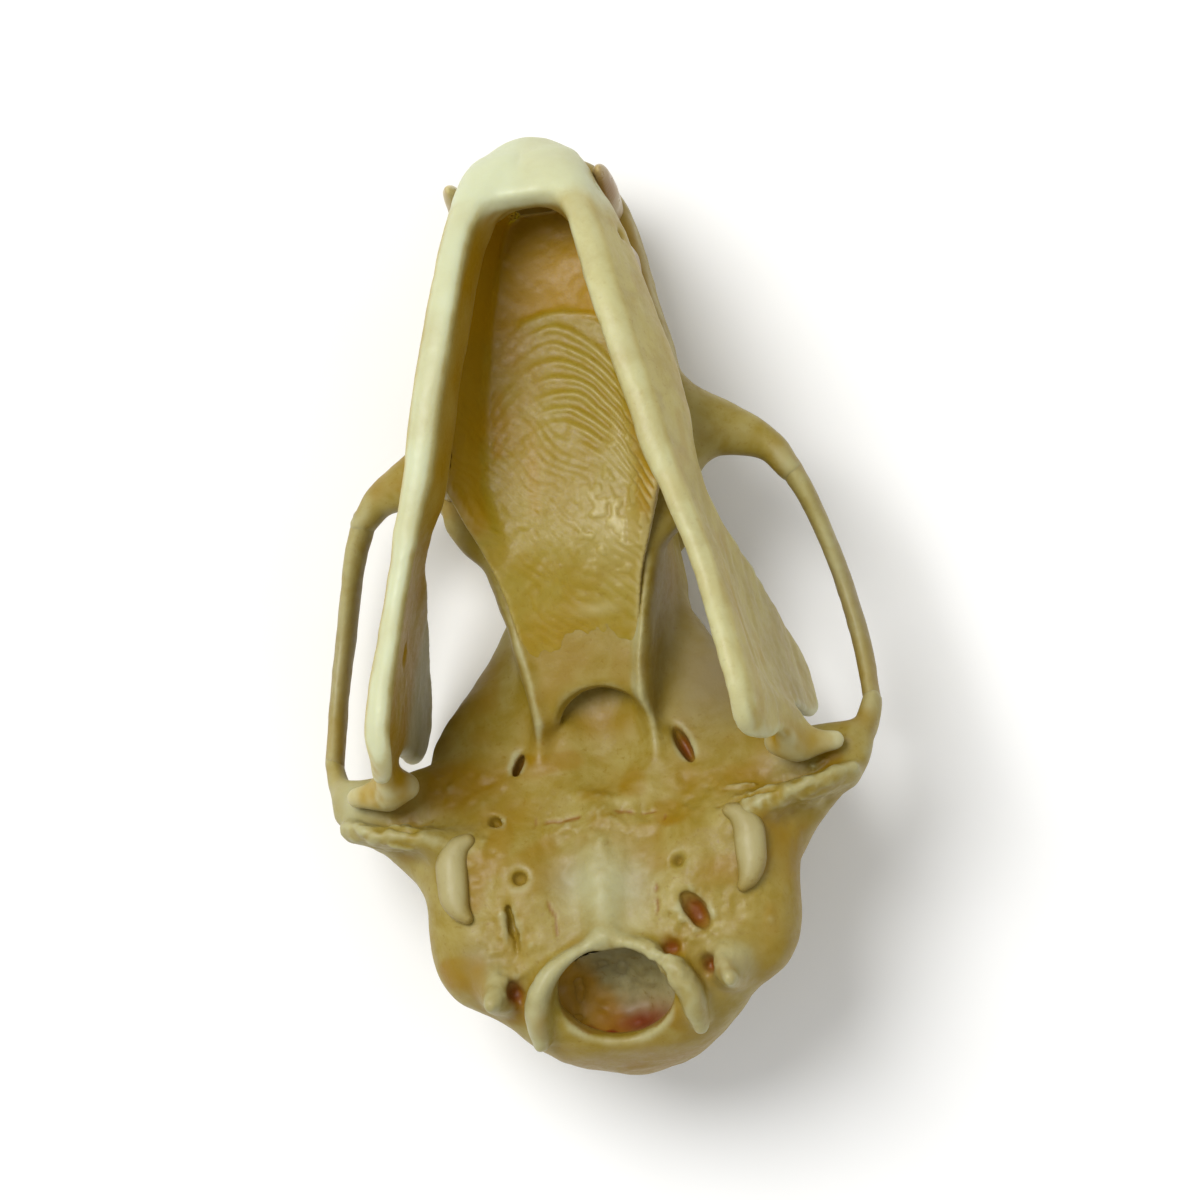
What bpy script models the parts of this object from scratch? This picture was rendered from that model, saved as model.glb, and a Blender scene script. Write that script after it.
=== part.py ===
"""Skull of a fruit bat with its lower jaw shut, lying on its back as a dry specimen.

The shapes are drawn in millimetres in the skull's own frame: x points to the
animal's left, y to the snout and z to the underside, which faces up here because
the skull lies on its back. At the end every node is turned into the resting pose,
brought to metres and set on the floor.
"""
import math
import random

import bmesh
import bpy
import numpy as np
from mathutils import Euler, Matrix, Vector

METRES = 0.001          # one millimetre

# Resting pose: the snout dips and the animal's right side is down.
PITCH = math.radians(-15.13)
ROLL = math.radians(-10.0)

# Main sizes of the skull in millimetres.
BRAINCASE_HALF_WIDTH = 7.5
WAIST_HALF_WIDTH = 3.2
DOME_Z = -12.4
PALATE_Z = -0.5
SNOUT_Y = -1.3
WALL = 1.0
BRAINCASE = [           # y, half width, roof z, underside z
    (-36.4, 1.3, -8.6, -6.2),
    (-35.9, 2.8, -9.5, -4.6),
    (-34.4, 4.7, -10.7, -3.2),
    (-32.2, 6.2, -11.7, -2.5),
    (-29.5, 7.1, DOME_Z, -2.6),
    (-26.5, BRAINCASE_HALF_WIDTH, DOME_Z, -3.1),
    (-23.0, 6.75, -11.7, -3.9),
    (-19.8, 5.3, -10.6, -4.4),
    (-17.6, WAIST_HALF_WIDTH, -9.8, -4.5),
    (-15.0, 3.4, -9.2, -4.2),
]
CREST_FRONT_Y = -17.0
CREST_REAR_Y = -34.0
CREST_STEPS = 6
CREST_HEIGHT = 0.16
CREST_HALF_WIDTH = 0.4
CREST_HALF_HEIGHT = 0.45
SEAM = 0.3              # gap between two bones that meet

# Opening for the spinal cord, on the underside at the rear.
CORD_HOLE_Y = -34.3
CORD_HOLE_Z = -2.9
CORD_HOLE_HALF_WIDTH = 2.45
CORD_HOLE_HALF_LENGTH = 1.95
CORD_HOLE_TILT = math.radians(32.0)

# Cheek arch.
ARCH_HALF_THICKNESS = 0.36
ARCH_HALF_HEIGHT = 0.75
ARCH_FRONT_SEAM_Y = -14.15
ARCH_REAR_SEAM_Y = -23.3

# Teeth.
UPPER_ROW_Z = -0.45
UPPER_CROWN_TOP = 1.0
LOWER_ROW_Z = 2.35
LOWER_CROWN_TOP = 1.4
TOOTH_VARIATION = 0.04

# Palate skin.
SKIN_UNDERSIDE_Z = -0.17
SKIN_THICKNESS = 0.3
SKIN_RIDGES = 8
SKIN_RIDGE_HEIGHT = 0.2

AROUND_LARGE = 32
AROUND_SMALL = 12
AROUND_TOOTH = 8

BONE = (0.47, 0.38, 0.15)
JAW_BONE = (0.60, 0.58, 0.33)
EAR_BONE = (0.67, 0.62, 0.42)
DRY_SKIN = (0.32, 0.19, 0.045)

draw = random.Random(7)


def clear_objects():
    for old in list(bpy.data.objects):
        bpy.data.objects.remove(old, do_unlink=True)


def smooth_row(stations, y):
    """Values at y between the given stations, joined by a curve that never overshoots."""
    table = np.array(sorted(stations), dtype=float)
    where, values = table[:, 0], table[:, 1:]
    step = np.diff(where)[:, None]
    rate = np.diff(values, axis=0) / step
    slope = np.zeros_like(values)
    slope[0], slope[-1] = rate[0], rate[-1]
    for i in range(1, len(where) - 1):
        agree = rate[i - 1] * rate[i] > 0
        total = np.where(agree, rate[i - 1] + rate[i], 1.0)
        slope[i] = np.where(agree, 2 * rate[i - 1] * rate[i] / total, 0.0)
    i = int(np.clip(np.searchsorted(where, y) - 1, 0, len(where) - 2))
    t = (y - where[i]) / step[i, 0]
    rise = values[i + 1] - values[i]
    a = step[i] * slope[i]
    b = step[i] * slope[i + 1]
    return values[i] + t * a + t * t * (3 * rise - 2 * a - b) + t ** 3 * (a + b - 2 * rise)


def rounded_outline(count, squareness):
    """Points of a rounded box of half size 1, from an ellipse (2) to a box (high)."""
    points = []
    for i in range(count):
        angle = 2 * math.pi * i / count
        c, s = math.cos(angle), math.sin(angle)
        power = 2 / squareness
        points.append((math.copysign(abs(c) ** power, c), math.copysign(abs(s) ** power, s)))
    return points


def make_object(name, bm):
    bmesh.ops.triangulate(bm, faces=bm.faces[:])
    bmesh.ops.recalc_face_normals(bm, faces=bm.faces[:])
    mesh = bpy.data.meshes.new(name)
    bm.to_mesh(mesh)
    bm.free()
    made = bpy.data.objects.new(name, mesh)
    bpy.context.scene.collection.objects.link(made)
    return made


def skin_rings(name, rings):
    """Closed solid through a row of rings with the same number of points."""
    bm = bmesh.new()
    rows = [[bm.verts.new(p) for p in ring] for ring in rings]
    for a, b in zip(rows, rows[1:]):
        for i in range(len(a)):
            j = (i + 1) % len(a)
            bm.faces.new((a[i], a[j], b[j], b[i]))
    bm.faces.new(rows[0])
    bm.faces.new(list(reversed(rows[-1])))
    return make_object(name, bm)


def length_loft(name, stations, ring_count, around, squareness, widest=0.5, roof=None):
    """Solid along y from stations of (y, half width, top z, underside z).

    It is widest at a fraction of its height above the underside, and the side that
    faces the top can have a squareness of its own.
    """
    rows = sorted(stations)
    first, last = rows[0][0], rows[-1][0]
    lower = rounded_outline(around, squareness)
    upper = rounded_outline(around, roof or squareness)
    outline = [a if a[1] >= 0 else b for a, b in zip(lower, upper)]
    rings = []
    for i in range(ring_count + 1):
        y = first + (last - first) * (0.5 - 0.5 * math.cos(math.pi * i / ring_count))
        half_width, top, under = smooth_row(rows, y)
        level = under + (top - under) * widest
        rings.append([(half_width * u, y, level + v * ((under - level) if v > 0 else (level - top)))
                      for u, v in outline])
    return skin_rings(name, rings)


def bent_tube(name, stations, ring_count, around, squareness=2.0):
    """Solid along a bent line: rows of (x, y, z, half thickness, half height in z)."""
    rows = [(i, *row) for i, row in enumerate(stations)]
    outline = rounded_outline(around, squareness)
    last = len(stations) - 1
    rings = []
    for i in range(ring_count + 1):
        t = last * i / ring_count
        here = smooth_row(rows, t)
        ahead = Vector(smooth_row(rows, min(t + 0.02, last))[:3])
        behind = Vector(smooth_row(rows, max(t - 0.02, 0))[:3])
        forward = (ahead - behind).normalized()
        guide = Vector((0, 0, 1)) if abs(forward.z) < 0.9 else Vector((0, 1, 0))
        across = forward.cross(guide).normalized()
        upright = across.cross(forward).normalized()
        centre = Vector(here[:3])
        rings.append([centre + across * (here[3] * u) + upright * (here[4] * v)
                      for u, v in outline])
    return skin_rings(name, rings)


def ball(name, centre, radii, turn=(0, 0, 0), around=14):
    bm = bmesh.new()
    bmesh.ops.create_uvsphere(bm, u_segments=around, v_segments=around // 2, radius=1)
    turned = Euler([math.radians(a) for a in turn]).to_matrix().to_4x4()
    place = Matrix.Translation(centre) @ turned @ Matrix.Diagonal((*radii, 1))
    bm.transform(place)
    return make_object(name, bm)


def mirrored(row, side):
    return (side * row[0], *row[1:])


def evaluated_copy(made, name):
    """Mesh with its modifiers applied, as a new object; the old one goes."""
    bpy.context.view_layer.update()
    graph = bpy.context.evaluated_depsgraph_get()
    mesh = bpy.data.meshes.new_from_object(made.evaluated_get(graph))
    result = bpy.data.objects.new(name, mesh)
    bpy.context.scene.collection.objects.link(result)
    bpy.data.objects.remove(made, do_unlink=True)
    return result


def boolean(name, body, others, operation):
    """Join or cut a body with a group of closed solids in one step."""
    group = bpy.data.collections.new(name + "_group")
    bpy.context.scene.collection.children.link(group)
    for other in others:
        bpy.context.scene.collection.objects.unlink(other)
        group.objects.link(other)
        other.hide_render = True
        other.display_type = "WIRE"
    step = body.modifiers.new("join", "BOOLEAN")
    step.operation = operation
    step.operand_type = "COLLECTION"
    step.collection = group
    step.solver = "MANIFOLD"
    result = evaluated_copy(body, name)
    for other in others:
        bpy.data.objects.remove(other, do_unlink=True)
    bpy.data.collections.remove(group)
    return result


def largest_surface(made):
    """Keep only the largest closed surface of a node."""
    bm = bmesh.new()
    bm.from_mesh(made.data)
    unseen = set(bm.faces)
    islands = []
    while unseen:
        start = unseen.pop()
        island, edge_of_search = {start}, [start]
        while edge_of_search:
            face = edge_of_search.pop()
            for edge in face.edges:
                for near in edge.link_faces:
                    if near in unseen:
                        unseen.remove(near)
                        island.add(near)
                        edge_of_search.append(near)
        islands.append(island)
    islands.sort(key=len)
    for island in islands[:-1]:
        bmesh.ops.delete(bm, geom=list(island), context="FACES")
    loose = [v for v in bm.verts if not v.link_faces]
    bmesh.ops.delete(bm, geom=loose, context="VERTS")
    bmesh.ops.triangulate(bm, faces=bm.faces[:])
    bmesh.ops.recalc_face_normals(bm, faces=bm.faces[:])
    bm.to_mesh(made.data)
    bm.free()
    return made


def braincase():
    """Rounded box of the brain, widest above the ear, drawn in to a waist behind the eyes."""
    return length_loft("braincase", BRAINCASE, 22, AROUND_LARGE, 2.6, 0.27, 1.85)


def roof_crest():
    """Low blunt ridge along the middle of the roof."""
    rows = []
    for i in range(CREST_STEPS + 1):
        y = CREST_FRONT_Y + (CREST_REAR_Y - CREST_FRONT_Y) * i / CREST_STEPS
        roof_z = smooth_row(BRAINCASE, y)[1]
        fade = math.sin(math.pi * i / CREST_STEPS) ** 0.5
        rows.append((0, y, roof_z + CREST_HALF_HEIGHT - CREST_HEIGHT * fade,
                     CREST_HALF_WIDTH, CREST_HALF_HEIGHT))
    return bent_tube("roof_crest", rows, 2 * CREST_STEPS, AROUND_SMALL)


def snout():
    """Long snout, from the frontal roof between the eyes down to the nose opening."""
    stations = [
        (-18.2, 3.2, -9.9, -4.6),
        (-16.2, 3.9, -9.4, -3.0),
        (-13.0, 4.2, -8.6, -1.2),
        (-10.0, 3.7, -7.8, -1.0),
        (-6.5, 3.3, -7.0, -1.0),
        (-3.5, 2.9, -6.4, -1.0),
        (-2.0, 2.4, -6.15, -1.2),
        (SNOUT_Y, 1.6, -5.9, -1.8),
    ]
    return length_loft("snout", stations, 14, AROUND_LARGE, 2.6, 0.5, 1.8)


def palate_bone():
    """Flat shelf of bone that carries both upper tooth rows."""
    stations = [
        (-16.4, 4.3, -2.4, PALATE_Z - 0.3),
        (-15.0, 5.05, -3.2, PALATE_Z),
        (-12.0, 5.1, -3.4, PALATE_Z),
        (-9.5, 4.65, -3.6, PALATE_Z),
        (-6.5, 4.0, -3.6, PALATE_Z),
        (-3.2, 3.3, -3.6, PALATE_Z),
        (-1.5, 2.3, -3.0, PALATE_Z),
        (-0.8, 1.4, -2.0, PALATE_Z - 0.2),
    ]
    return length_loft("palate_bone", stations, 12, 24, 4.0)


def rear_palate():
    """Narrow rear end of the palate, over the inner nose opening."""
    stations = [
        (-18.2, 2.5, -1.5, PALATE_Z - 0.35),
        (-17.2, 2.9, -1.7, PALATE_Z - 0.2),
        (-14.0, 3.4, -2.2, PALATE_Z),
    ]
    return length_loft("rear_palate", stations, 6, 24, 4.0)


def wing_wall(side):
    """Thin upright wall beside the inner nose opening, with a free lower edge."""
    rows = [
        (2.6, -15.2, -3.4, 0.45, 2.0),
        (2.35, -17.5, -3.2, 0.4, 2.1),
        (2.15, -19.5, -3.5, 0.32, 2.0),
        (1.95, -21.6, -3.9, 0.3, 1.8),
        (1.85, -23.3, -4.2, 0.3, 1.2),
    ]
    return bent_tube("wing_wall", [mirrored(r, side) for r in rows], 10, AROUND_SMALL, 3.0)


def brow_spike(side):
    """Spike above the rear of the eye socket."""
    rows = [
        (2.2, -13.4, -7.7, 1.6, 0.6),
        (3.4, -14.0, -8.12, 1.2, 0.5),
        (4.15, -14.5, -8.44, 0.6, 0.38),
        (4.6, -15.0, -8.59, 0.3, 0.28),
    ]
    return bent_tube("brow_spike", [mirrored(r, side) for r in rows], 6, AROUND_SMALL)


def cheek_root(side):
    """Root of the cheek arch on the upper jaw."""
    rows = [
        (3.6, -11.7, -2.3, 1.5, 1.5),
        (5.2, -11.95, -2.2, 1.35, 1.25),
        (6.7, -12.5, -2.5, 0.95, 1.0),
        (7.8, -13.2, -2.9, 0.66, 0.85),
        (8.45, ARCH_FRONT_SEAM_Y + SEAM / 2, -3.15, 0.5, 0.78),
    ]
    return bent_tube("cheek_root", [mirrored(r, side) for r in rows], 10, AROUND_SMALL, 2.4)


def jaw_socket(side):
    """Shelf beside the braincase that the lower jaw hinges on, with the arch's rear end."""
    shelf = [
        (4.6, -25.7, -5.0, 2.0, 1.3),
        (7.0, -25.7, -4.0, 1.7, 1.0),
        (9.0, -25.6, -3.7, 1.35, 0.75),
        (10.1, -25.3, -3.55, 0.95, 0.65),
    ]
    arm = [
        (9.5, -25.4, -3.9, 0.7, 0.62),
        (10.45, -24.5, -4.3, 0.45, 0.66),
        (10.74, ARCH_REAR_SEAM_Y - SEAM / 2, -4.65, 0.36, 0.7),
    ]
    rear_lip = [
        (5.6, -27.7, -3.0, 0.8, 0.8),
        (7.6, -27.2, -2.5, 0.5, 1.0),
        (9.7, -26.7, -3.0, 0.36, 0.8),
    ]
    return [
        bent_tube("shelf", [mirrored(r, side) for r in shelf], 8, AROUND_SMALL, 2.6),
        bent_tube("arm", [mirrored(r, side) for r in arm], 6, AROUND_SMALL),
        bent_tube("rear_lip", [mirrored(r, side) for r in rear_lip], 8, AROUND_SMALL),
    ]


def skull_base(side):
    """Swellings of the skull's underside: ear seat, rear corner, side spike, neck knobs."""
    return [
        ball("ear_seat", (side * 5.0, -29.2, -3.9), (2.2, 3.0, 1.65)),
        ball("inner_ear", (side * 3.5, -29.6, -3.3), (1.5, 2.4, 1.05), (0, 0, -side * 14)),
        ball("rear_corner", (side * 5.3, -31.6, -4.7), (1.85, 2.2, 1.7)),
        bent_tube("side_spike", [
            (side * 4.2, -33.0, -4.2, 1.0, 1.0),
            (side * 4.55, -33.7, -2.8, 0.55, 0.7),
            (side * 4.65, -34.1, -1.9, 0.3, 0.35),
        ], 6, AROUND_SMALL),
        ball("neck_knob", (side * 2.75, -34.3, -3.1), (0.85, 1.75, 1.0), (-28, 0, side * 22)),
    ]


def cord_opening():
    """Hollow of the brain with the round way out at the rear of the underside."""
    cavity = length_loft("cavity", [
        (-35.2, 2.0, -8.6, -5.0),
        (-33.8, 3.9, -9.7, -4.0),
        (-31.0, 5.6, DOME_Z + WALL, -3.6),
        (-27.0, BRAINCASE_HALF_WIDTH - WALL, DOME_Z + WALL, -4.2),
        (-23.0, 5.8, -10.6, -5.0),
        (-20.4, 4.0, -9.6, -5.5),
        (-19.0, 2.2, -8.8, -5.8),
    ], 12, 24, 2.6, 0.3, 2.0)
    tilt = Matrix.Rotation(CORD_HOLE_TILT, 4, "X")
    bm = bmesh.new()
    bmesh.ops.create_cone(bm, cap_ends=True, segments=24, radius1=1, radius2=1, depth=1)
    size = Matrix.Diagonal((CORD_HOLE_HALF_WIDTH, CORD_HOLE_HALF_LENGTH, 5.0, 1))
    bm.transform(Matrix.Translation((0, CORD_HOLE_Y, CORD_HOLE_Z)) @ tilt @ size)
    return [cavity, make_object("way_out", bm)]


def nose_openings():
    front = ball("nose_front", (0, -0.9, -3.7), (1.15, 2.6, 1.45))
    rear = ball("nose_rear", (0, -19.0, -3.0), (1.55, 3.4, 1.15))
    return [front, rear]


def crown(name, centre, length, width, root, height, direction):
    """One cheek tooth: a rounded block with a groove along its top."""
    levels = [
        (0.80, -root), (0.88, -0.1), (1.0, height * 0.35), (0.93, height * 0.8),
        (0.72, height), (0.34, height * 0.72),
    ]
    outline = rounded_outline(AROUND_TOOTH, 2.6)
    rings = []
    for scale, level in levels:
        z = centre[2] + direction * level
        rings.append([(centre[0] + width / 2 * scale * u, centre[1] + length / 2 * scale * v, z)
                      for u, v in outline])
    return skin_rings(name, rings)


def cheek_tooth_row(side, row_z, direction, row_x, teeth, start_y, turned_limit):
    """Cheek teeth one behind the other; each row is (length, width, height)."""
    made = []
    y = start_y
    for length, width, height in teeth:
        vary = 1 + draw.uniform(-TOOTH_VARIATION, TOOTH_VARIATION)
        y -= length / 2
        x = row_x(y)
        tall = min(height * vary, turned_limit)
        made.append(crown("cheek_tooth", (side * x, y, row_z), length * 0.96, width * vary,
                          0.9, tall, direction))
        y -= length / 2
    return made


def upper_row_x(y):
    return 3.05 + 1.45 * min(1.0, (-y - 5.0) / 9.0)


def lower_row_x(y):
    return 2.45 + 2.05 * (-y - 5.0) / 10.0


def upper_teeth(side):
    canine = [
        (side * 2.6, -3.3, -1.6, 0.62, 0.8),
        (side * 2.78, -3.0, 0.1, 0.5, 0.68),
        (side * 2.92, -2.7, 1.6, 0.32, 0.42),
        (side * 2.98, -2.5, 2.9, 0.1, 0.12),
    ]
    limit = UPPER_CROWN_TOP - UPPER_ROW_Z
    rows = [(0.7, 0.6, 0.75), (2.1, 1.45, 1.45), (2.3, 1.6, 1.4), (2.9, 1.7, 1.3), (2.2, 1.5, 1.15)]
    made = cheek_tooth_row(side, UPPER_ROW_Z, 1, upper_row_x, rows, -4.35, limit)
    made.append(bent_tube("canine", canine, 8, AROUND_TOOTH))
    for i in range(2):
        x = side * (0.45 + 0.75 * i)
        made.append(bent_tube("front_tooth", [
            (x, -1.6 - 0.3 * i, -1.2, 0.26, 0.24),
            (x, -1.1 - 0.35 * i, -0.2, 0.26, 0.22),
            (x, -0.95 - 0.4 * i, 0.35, 0.2, 0.12),
        ], 4, AROUND_TOOTH))
    return made


def cranium():
    """Upper skull: one fused bone with its teeth."""
    body = braincase()
    parts = [snout(), roof_crest(), palate_bone(), rear_palate()]
    for side in (1, -1):
        parts += [wing_wall(side), brow_spike(side), cheek_root(side)]
        parts += jaw_socket(side) + skull_base(side) + upper_teeth(side)
    body = boolean("cranium_joined", body, parts, "UNION")
    for cutter in cord_opening() + nose_openings():
        body = boolean("cranium", body, [cutter], "DIFFERENCE")
    return body


def cheek_bone(name, side):
    """Slim outer bar of the cheek arch, between its two roots."""
    rows = [
        (8.76, ARCH_FRONT_SEAM_Y - SEAM * 1.3, -3.2, 0.45, 0.78),
        (9.4, -16.5, -4.2, 0.38, 0.8),
        (9.95, -18.7, -5.0, ARCH_HALF_THICKNESS, ARCH_HALF_HEIGHT),
        (10.4, -21.1, -5.15, ARCH_HALF_THICKNESS, ARCH_HALF_HEIGHT),
        (10.72, ARCH_REAR_SEAM_Y + SEAM * 0.75, -4.7, 0.34, 0.7),
    ]
    return bent_tube(name, [mirrored(r, side) for r in rows], 14, AROUND_SMALL, 2.4)


def jaw_side(side):
    """One half of the lower jaw: rows of y, lower edge z, upper edge z, their x, thickness."""
    rows = [
        (-2.2, 3.3, 1.5, 1.1, 1.2, 1.6),
        (-4.2, 4.5, 1.8, 1.75, 1.8, 1.9),
        (-5.6, 5.0, 2.0, 2.2, 2.25, 1.5),
        (-8.5, 5.6, 2.2, 3.0, 3.0, 1.35),
        (-12.0, 5.6, 2.2, 3.85, 3.8, 1.3),
        (-15.2, 5.2, 2.1, 4.65, 4.7, 1.2),
        (-16.4, 4.9, 0.6, 5.05, 5.4, 1.1),
        (-18.2, 4.6, -4.2, 5.6, 6.6, 0.9),
        (-20.2, 4.5, -7.5, 6.15, 7.35, 0.8),
        (-21.6, 4.6, -8.4, 6.45, 7.8, 0.75),
        (-22.7, 4.8, -6.6, 6.6, 8.0, 0.75),
        (-23.7, 4.8, -3.1, 6.7, 8.1, 0.75),
        (-24.8, 4.5, -2.2, 6.85, 8.1, 0.8),
        (-25.5, 3.9, -1.5, 6.95, 8.0, 0.75),
        (-26.2, 2.6, 0.4, 7.0, 7.6, 0.6),
    ]
    outline = rounded_outline(AROUND_SMALL, 2.6)
    rings = []
    count = 34
    for i in range(count + 1):
        y = rows[-1][0] + (rows[0][0] - rows[-1][0]) * i / count
        low, high, low_x, high_x, thick = smooth_row(rows, y)
        ring = []
        for u, v in outline:
            t = (v + 1) / 2
            x = high_x + (low_x - high_x) * t + thick / 2 * u
            ring.append((side * x, y, high + (low - high) * t))
        rings.append(ring)
    return skin_rings("jaw_side", rings)


def chin():
    """Fused front of the lower jaw, without a seam."""
    stations = [
        (-4.5, 1.7, 2.9, 3.9),
        (-4.1, 2.2, 2.2, 4.2),
        (-3.2, 2.15, 1.6, 3.95),
        (-2.0, 2.05, 1.3, 3.3),
        (-1.2, 1.6, 1.1, 2.6),
        (-0.8, 0.9, 1.2, 1.9),
    ]
    return length_loft("chin", stations, 10, 24, 2.4)


def lower_teeth(side):
    canine = [
        (side * 1.55, -2.3, 2.2, 0.5, 0.5),
        (side * 1.7, -2.0, 1.0, 0.36, 0.42),
        (side * 1.8, -1.8, 0.3, 0.2, 0.24),
        (side * 1.85, -1.75, -0.1, 0.1, 0.1),
    ]
    limit = LOWER_ROW_Z - LOWER_CROWN_TOP
    rows = [(2.0, 1.15, 0.95), (2.1, 1.2, 0.95), (2.4, 1.3, 0.9), (2.1, 1.25, 0.85), (1.5, 1.0, 0.75)]
    made = cheek_tooth_row(side, LOWER_ROW_Z, -1, lower_row_x, rows, -4.8, limit)
    made.append(bent_tube("canine", canine, 6, AROUND_TOOTH))
    return made


def jaw_hinge(side):
    """Cross-wise knob at the rear of the jaw that sits in the skull's socket."""
    return ball("hinge", (side * 8.4, -25.4, -1.95), (1.3, 0.6, 0.55))


def lower_jaw():
    body = chin()
    parts = []
    for side in (1, -1):
        parts += [jaw_side(side), jaw_hinge(side)] + lower_teeth(side)
    return boolean("lower_jaw", body, parts, "UNION")


def ear_bone(name, side):
    """Small bent bone around the ear opening, resting on the skull's underside."""
    rows = [
        (5.0, -27.9, -1.65, 0.3, 0.3),
        (5.9, -28.1, -1.5, 0.42, 0.36),
        (6.35, -29.0, -1.65, 0.45, 0.4),
        (6.0, -30.0, -1.6, 0.42, 0.36),
        (5.2, -30.5, -1.6, 0.28, 0.3),
    ]
    return bent_tube(name, [mirrored(r, side) for r in rows], 12, AROUND_SMALL)


def palate_skin():
    """Dried skin on the roof of the mouth with low ridges across it."""
    front, rear = -3.4, -18.3
    outline = rounded_outline(20, 3.2)
    widths = [(-18.3, 1.9), (-17.0, 2.5), (-14.0, 2.95), (-10.0, 2.7), (-7.0, 2.2), (-5.0, 1.75), (-3.4, 1.2)]
    rings = []
    count = SKIN_RIDGES * 4
    for i in range(count + 1):
        y = rear + (front - rear) * i / count
        half_width = smooth_row(widths, y)[0]
        ridge = SKIN_RIDGE_HEIGHT * (0.5 + 0.5 * math.cos(2 * math.pi * i / 4)) if 1 < i < count else 0
        ring = []
        for u, v in outline:
            low = SKIN_UNDERSIDE_Z
            top = SKIN_THICKNESS + ridge * (1 - u * u)
            bow = 0.35 * (1 - u * u)
            ring.append((half_width * u, y + bow, low + top * (v + 1) / 2))
        rings.append(ring)
    return skin_rings("palate_skin", rings)


def bone_material(name, colour, roughness):
    material = bpy.data.materials.new(name)
    material.use_nodes = True
    shader = material.node_tree.nodes["Principled BSDF"]
    shader.inputs["Base Color"].default_value = (*colour, 1)
    shader.inputs["Roughness"].default_value = roughness
    shader.inputs["Metallic"].default_value = 0.0
    material.diffuse_color = (*colour, 1)
    return material


def finish(made, name, colour, roughness):
    """Name, material and smooth shading of one node."""
    made.name = name
    made.data.name = name
    largest_surface(made)
    made.data.materials.clear()
    made.data.materials.append(bone_material(name + "_surface", colour, roughness))
    for face in made.data.polygons:
        face.use_smooth = True
    return made


def set_down(nodes):
    """Turn the nodes into the resting pose, in metres, with the box's foot centre at the origin."""
    pose = Matrix.Rotation(PITCH, 4, "X") @ Matrix.Rotation(ROLL, 4, "Y")
    pose = Matrix.Scale(METRES, 4) @ pose
    for node in nodes:
        node.data.transform(pose)
    corners = np.array([v.co for node in nodes for v in node.data.vertices])
    low, high = corners.min(axis=0), corners.max(axis=0)
    shift = Vector((-(low[0] + high[0]) / 2, -(low[1] + high[1]) / 2, -low[2]))
    for node in nodes:
        node.data.transform(Matrix.Translation(shift))
        node.data.update()


def build():
    clear_objects()
    nodes = [
        finish(cranium(), "cranium", BONE, 0.5),
        finish(lower_jaw(), "lower_jaw", JAW_BONE, 0.45),
        finish(palate_skin(), "palate_skin", DRY_SKIN, 0.5),
    ]
    for side, word in ((1, "left"), (-1, "right")):
        nodes.append(finish(cheek_bone("cheek_bone", side), "cheek_bone_" + word, BONE, 0.5))
        nodes.append(finish(ear_bone("ear_bone", side), "ear_bone_" + word, EAR_BONE, 0.5))
    set_down(nodes)


build()
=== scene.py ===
"""Dry skull of a fruit bat with its jaw shut, lying on its back on a pale table."""
import math

import bpy
import numpy as np
from mathutils import Matrix, Vector


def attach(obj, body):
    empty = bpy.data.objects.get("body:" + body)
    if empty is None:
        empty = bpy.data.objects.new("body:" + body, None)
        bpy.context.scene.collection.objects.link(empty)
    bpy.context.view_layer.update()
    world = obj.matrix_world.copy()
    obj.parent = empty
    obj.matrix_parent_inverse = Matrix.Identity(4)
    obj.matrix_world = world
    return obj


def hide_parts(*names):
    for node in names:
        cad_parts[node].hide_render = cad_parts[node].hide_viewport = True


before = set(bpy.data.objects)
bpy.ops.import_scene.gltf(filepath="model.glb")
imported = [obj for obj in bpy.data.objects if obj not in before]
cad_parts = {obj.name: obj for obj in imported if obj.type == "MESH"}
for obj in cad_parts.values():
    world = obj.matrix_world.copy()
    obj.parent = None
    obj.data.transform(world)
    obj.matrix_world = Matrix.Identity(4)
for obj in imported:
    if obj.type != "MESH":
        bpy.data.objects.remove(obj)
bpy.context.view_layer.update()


# Upper skull

# The real piece is one thin shell of fused bone: snout, palate, braincase and the roots of
# the cheek arches. It was cleaned and dried, and fat left in it has turned parts of it golden
# brown. Its openings are where nerves, vessels, the spinal cord and the breath passed.

# The skull is drawn in millimetres: x to the animal's left, y to its snout and z to its
# underside, which faces up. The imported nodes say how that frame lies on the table.
MILLIMETRE = 0.001
SNOUT_DIPS = math.radians(-15.13)
SIDE_DIPS = math.radians(-10.0)
SKULL_REAR_Y = -36.4
SKIN_BACK_Z = -0.17
turn = Matrix.Rotation(SNOUT_DIPS, 4, "X") @ Matrix.Rotation(SIDE_DIPS, 4, "Y")


def node_points(name):
    """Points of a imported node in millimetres, turned upright into the skull's frame."""
    points = np.array([v.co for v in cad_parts[name].data.vertices]) / MILLIMETRE
    return points @ np.array(turn.to_3x3())


arch_points = np.concatenate([node_points("cheek_bone_left"), node_points("cheek_bone_right")])
skull_origin = Vector((
    (arch_points[:, 0].max() + arch_points[:, 0].min()) / 2,
    node_points("cranium")[:, 1].min() - SKULL_REAR_Y,
    node_points("palate_skin")[:, 2].min() - SKIN_BACK_Z,
))
lay_down = Matrix.Scale(MILLIMETRE, 4) @ turn @ Matrix.Translation(skull_origin)


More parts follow.
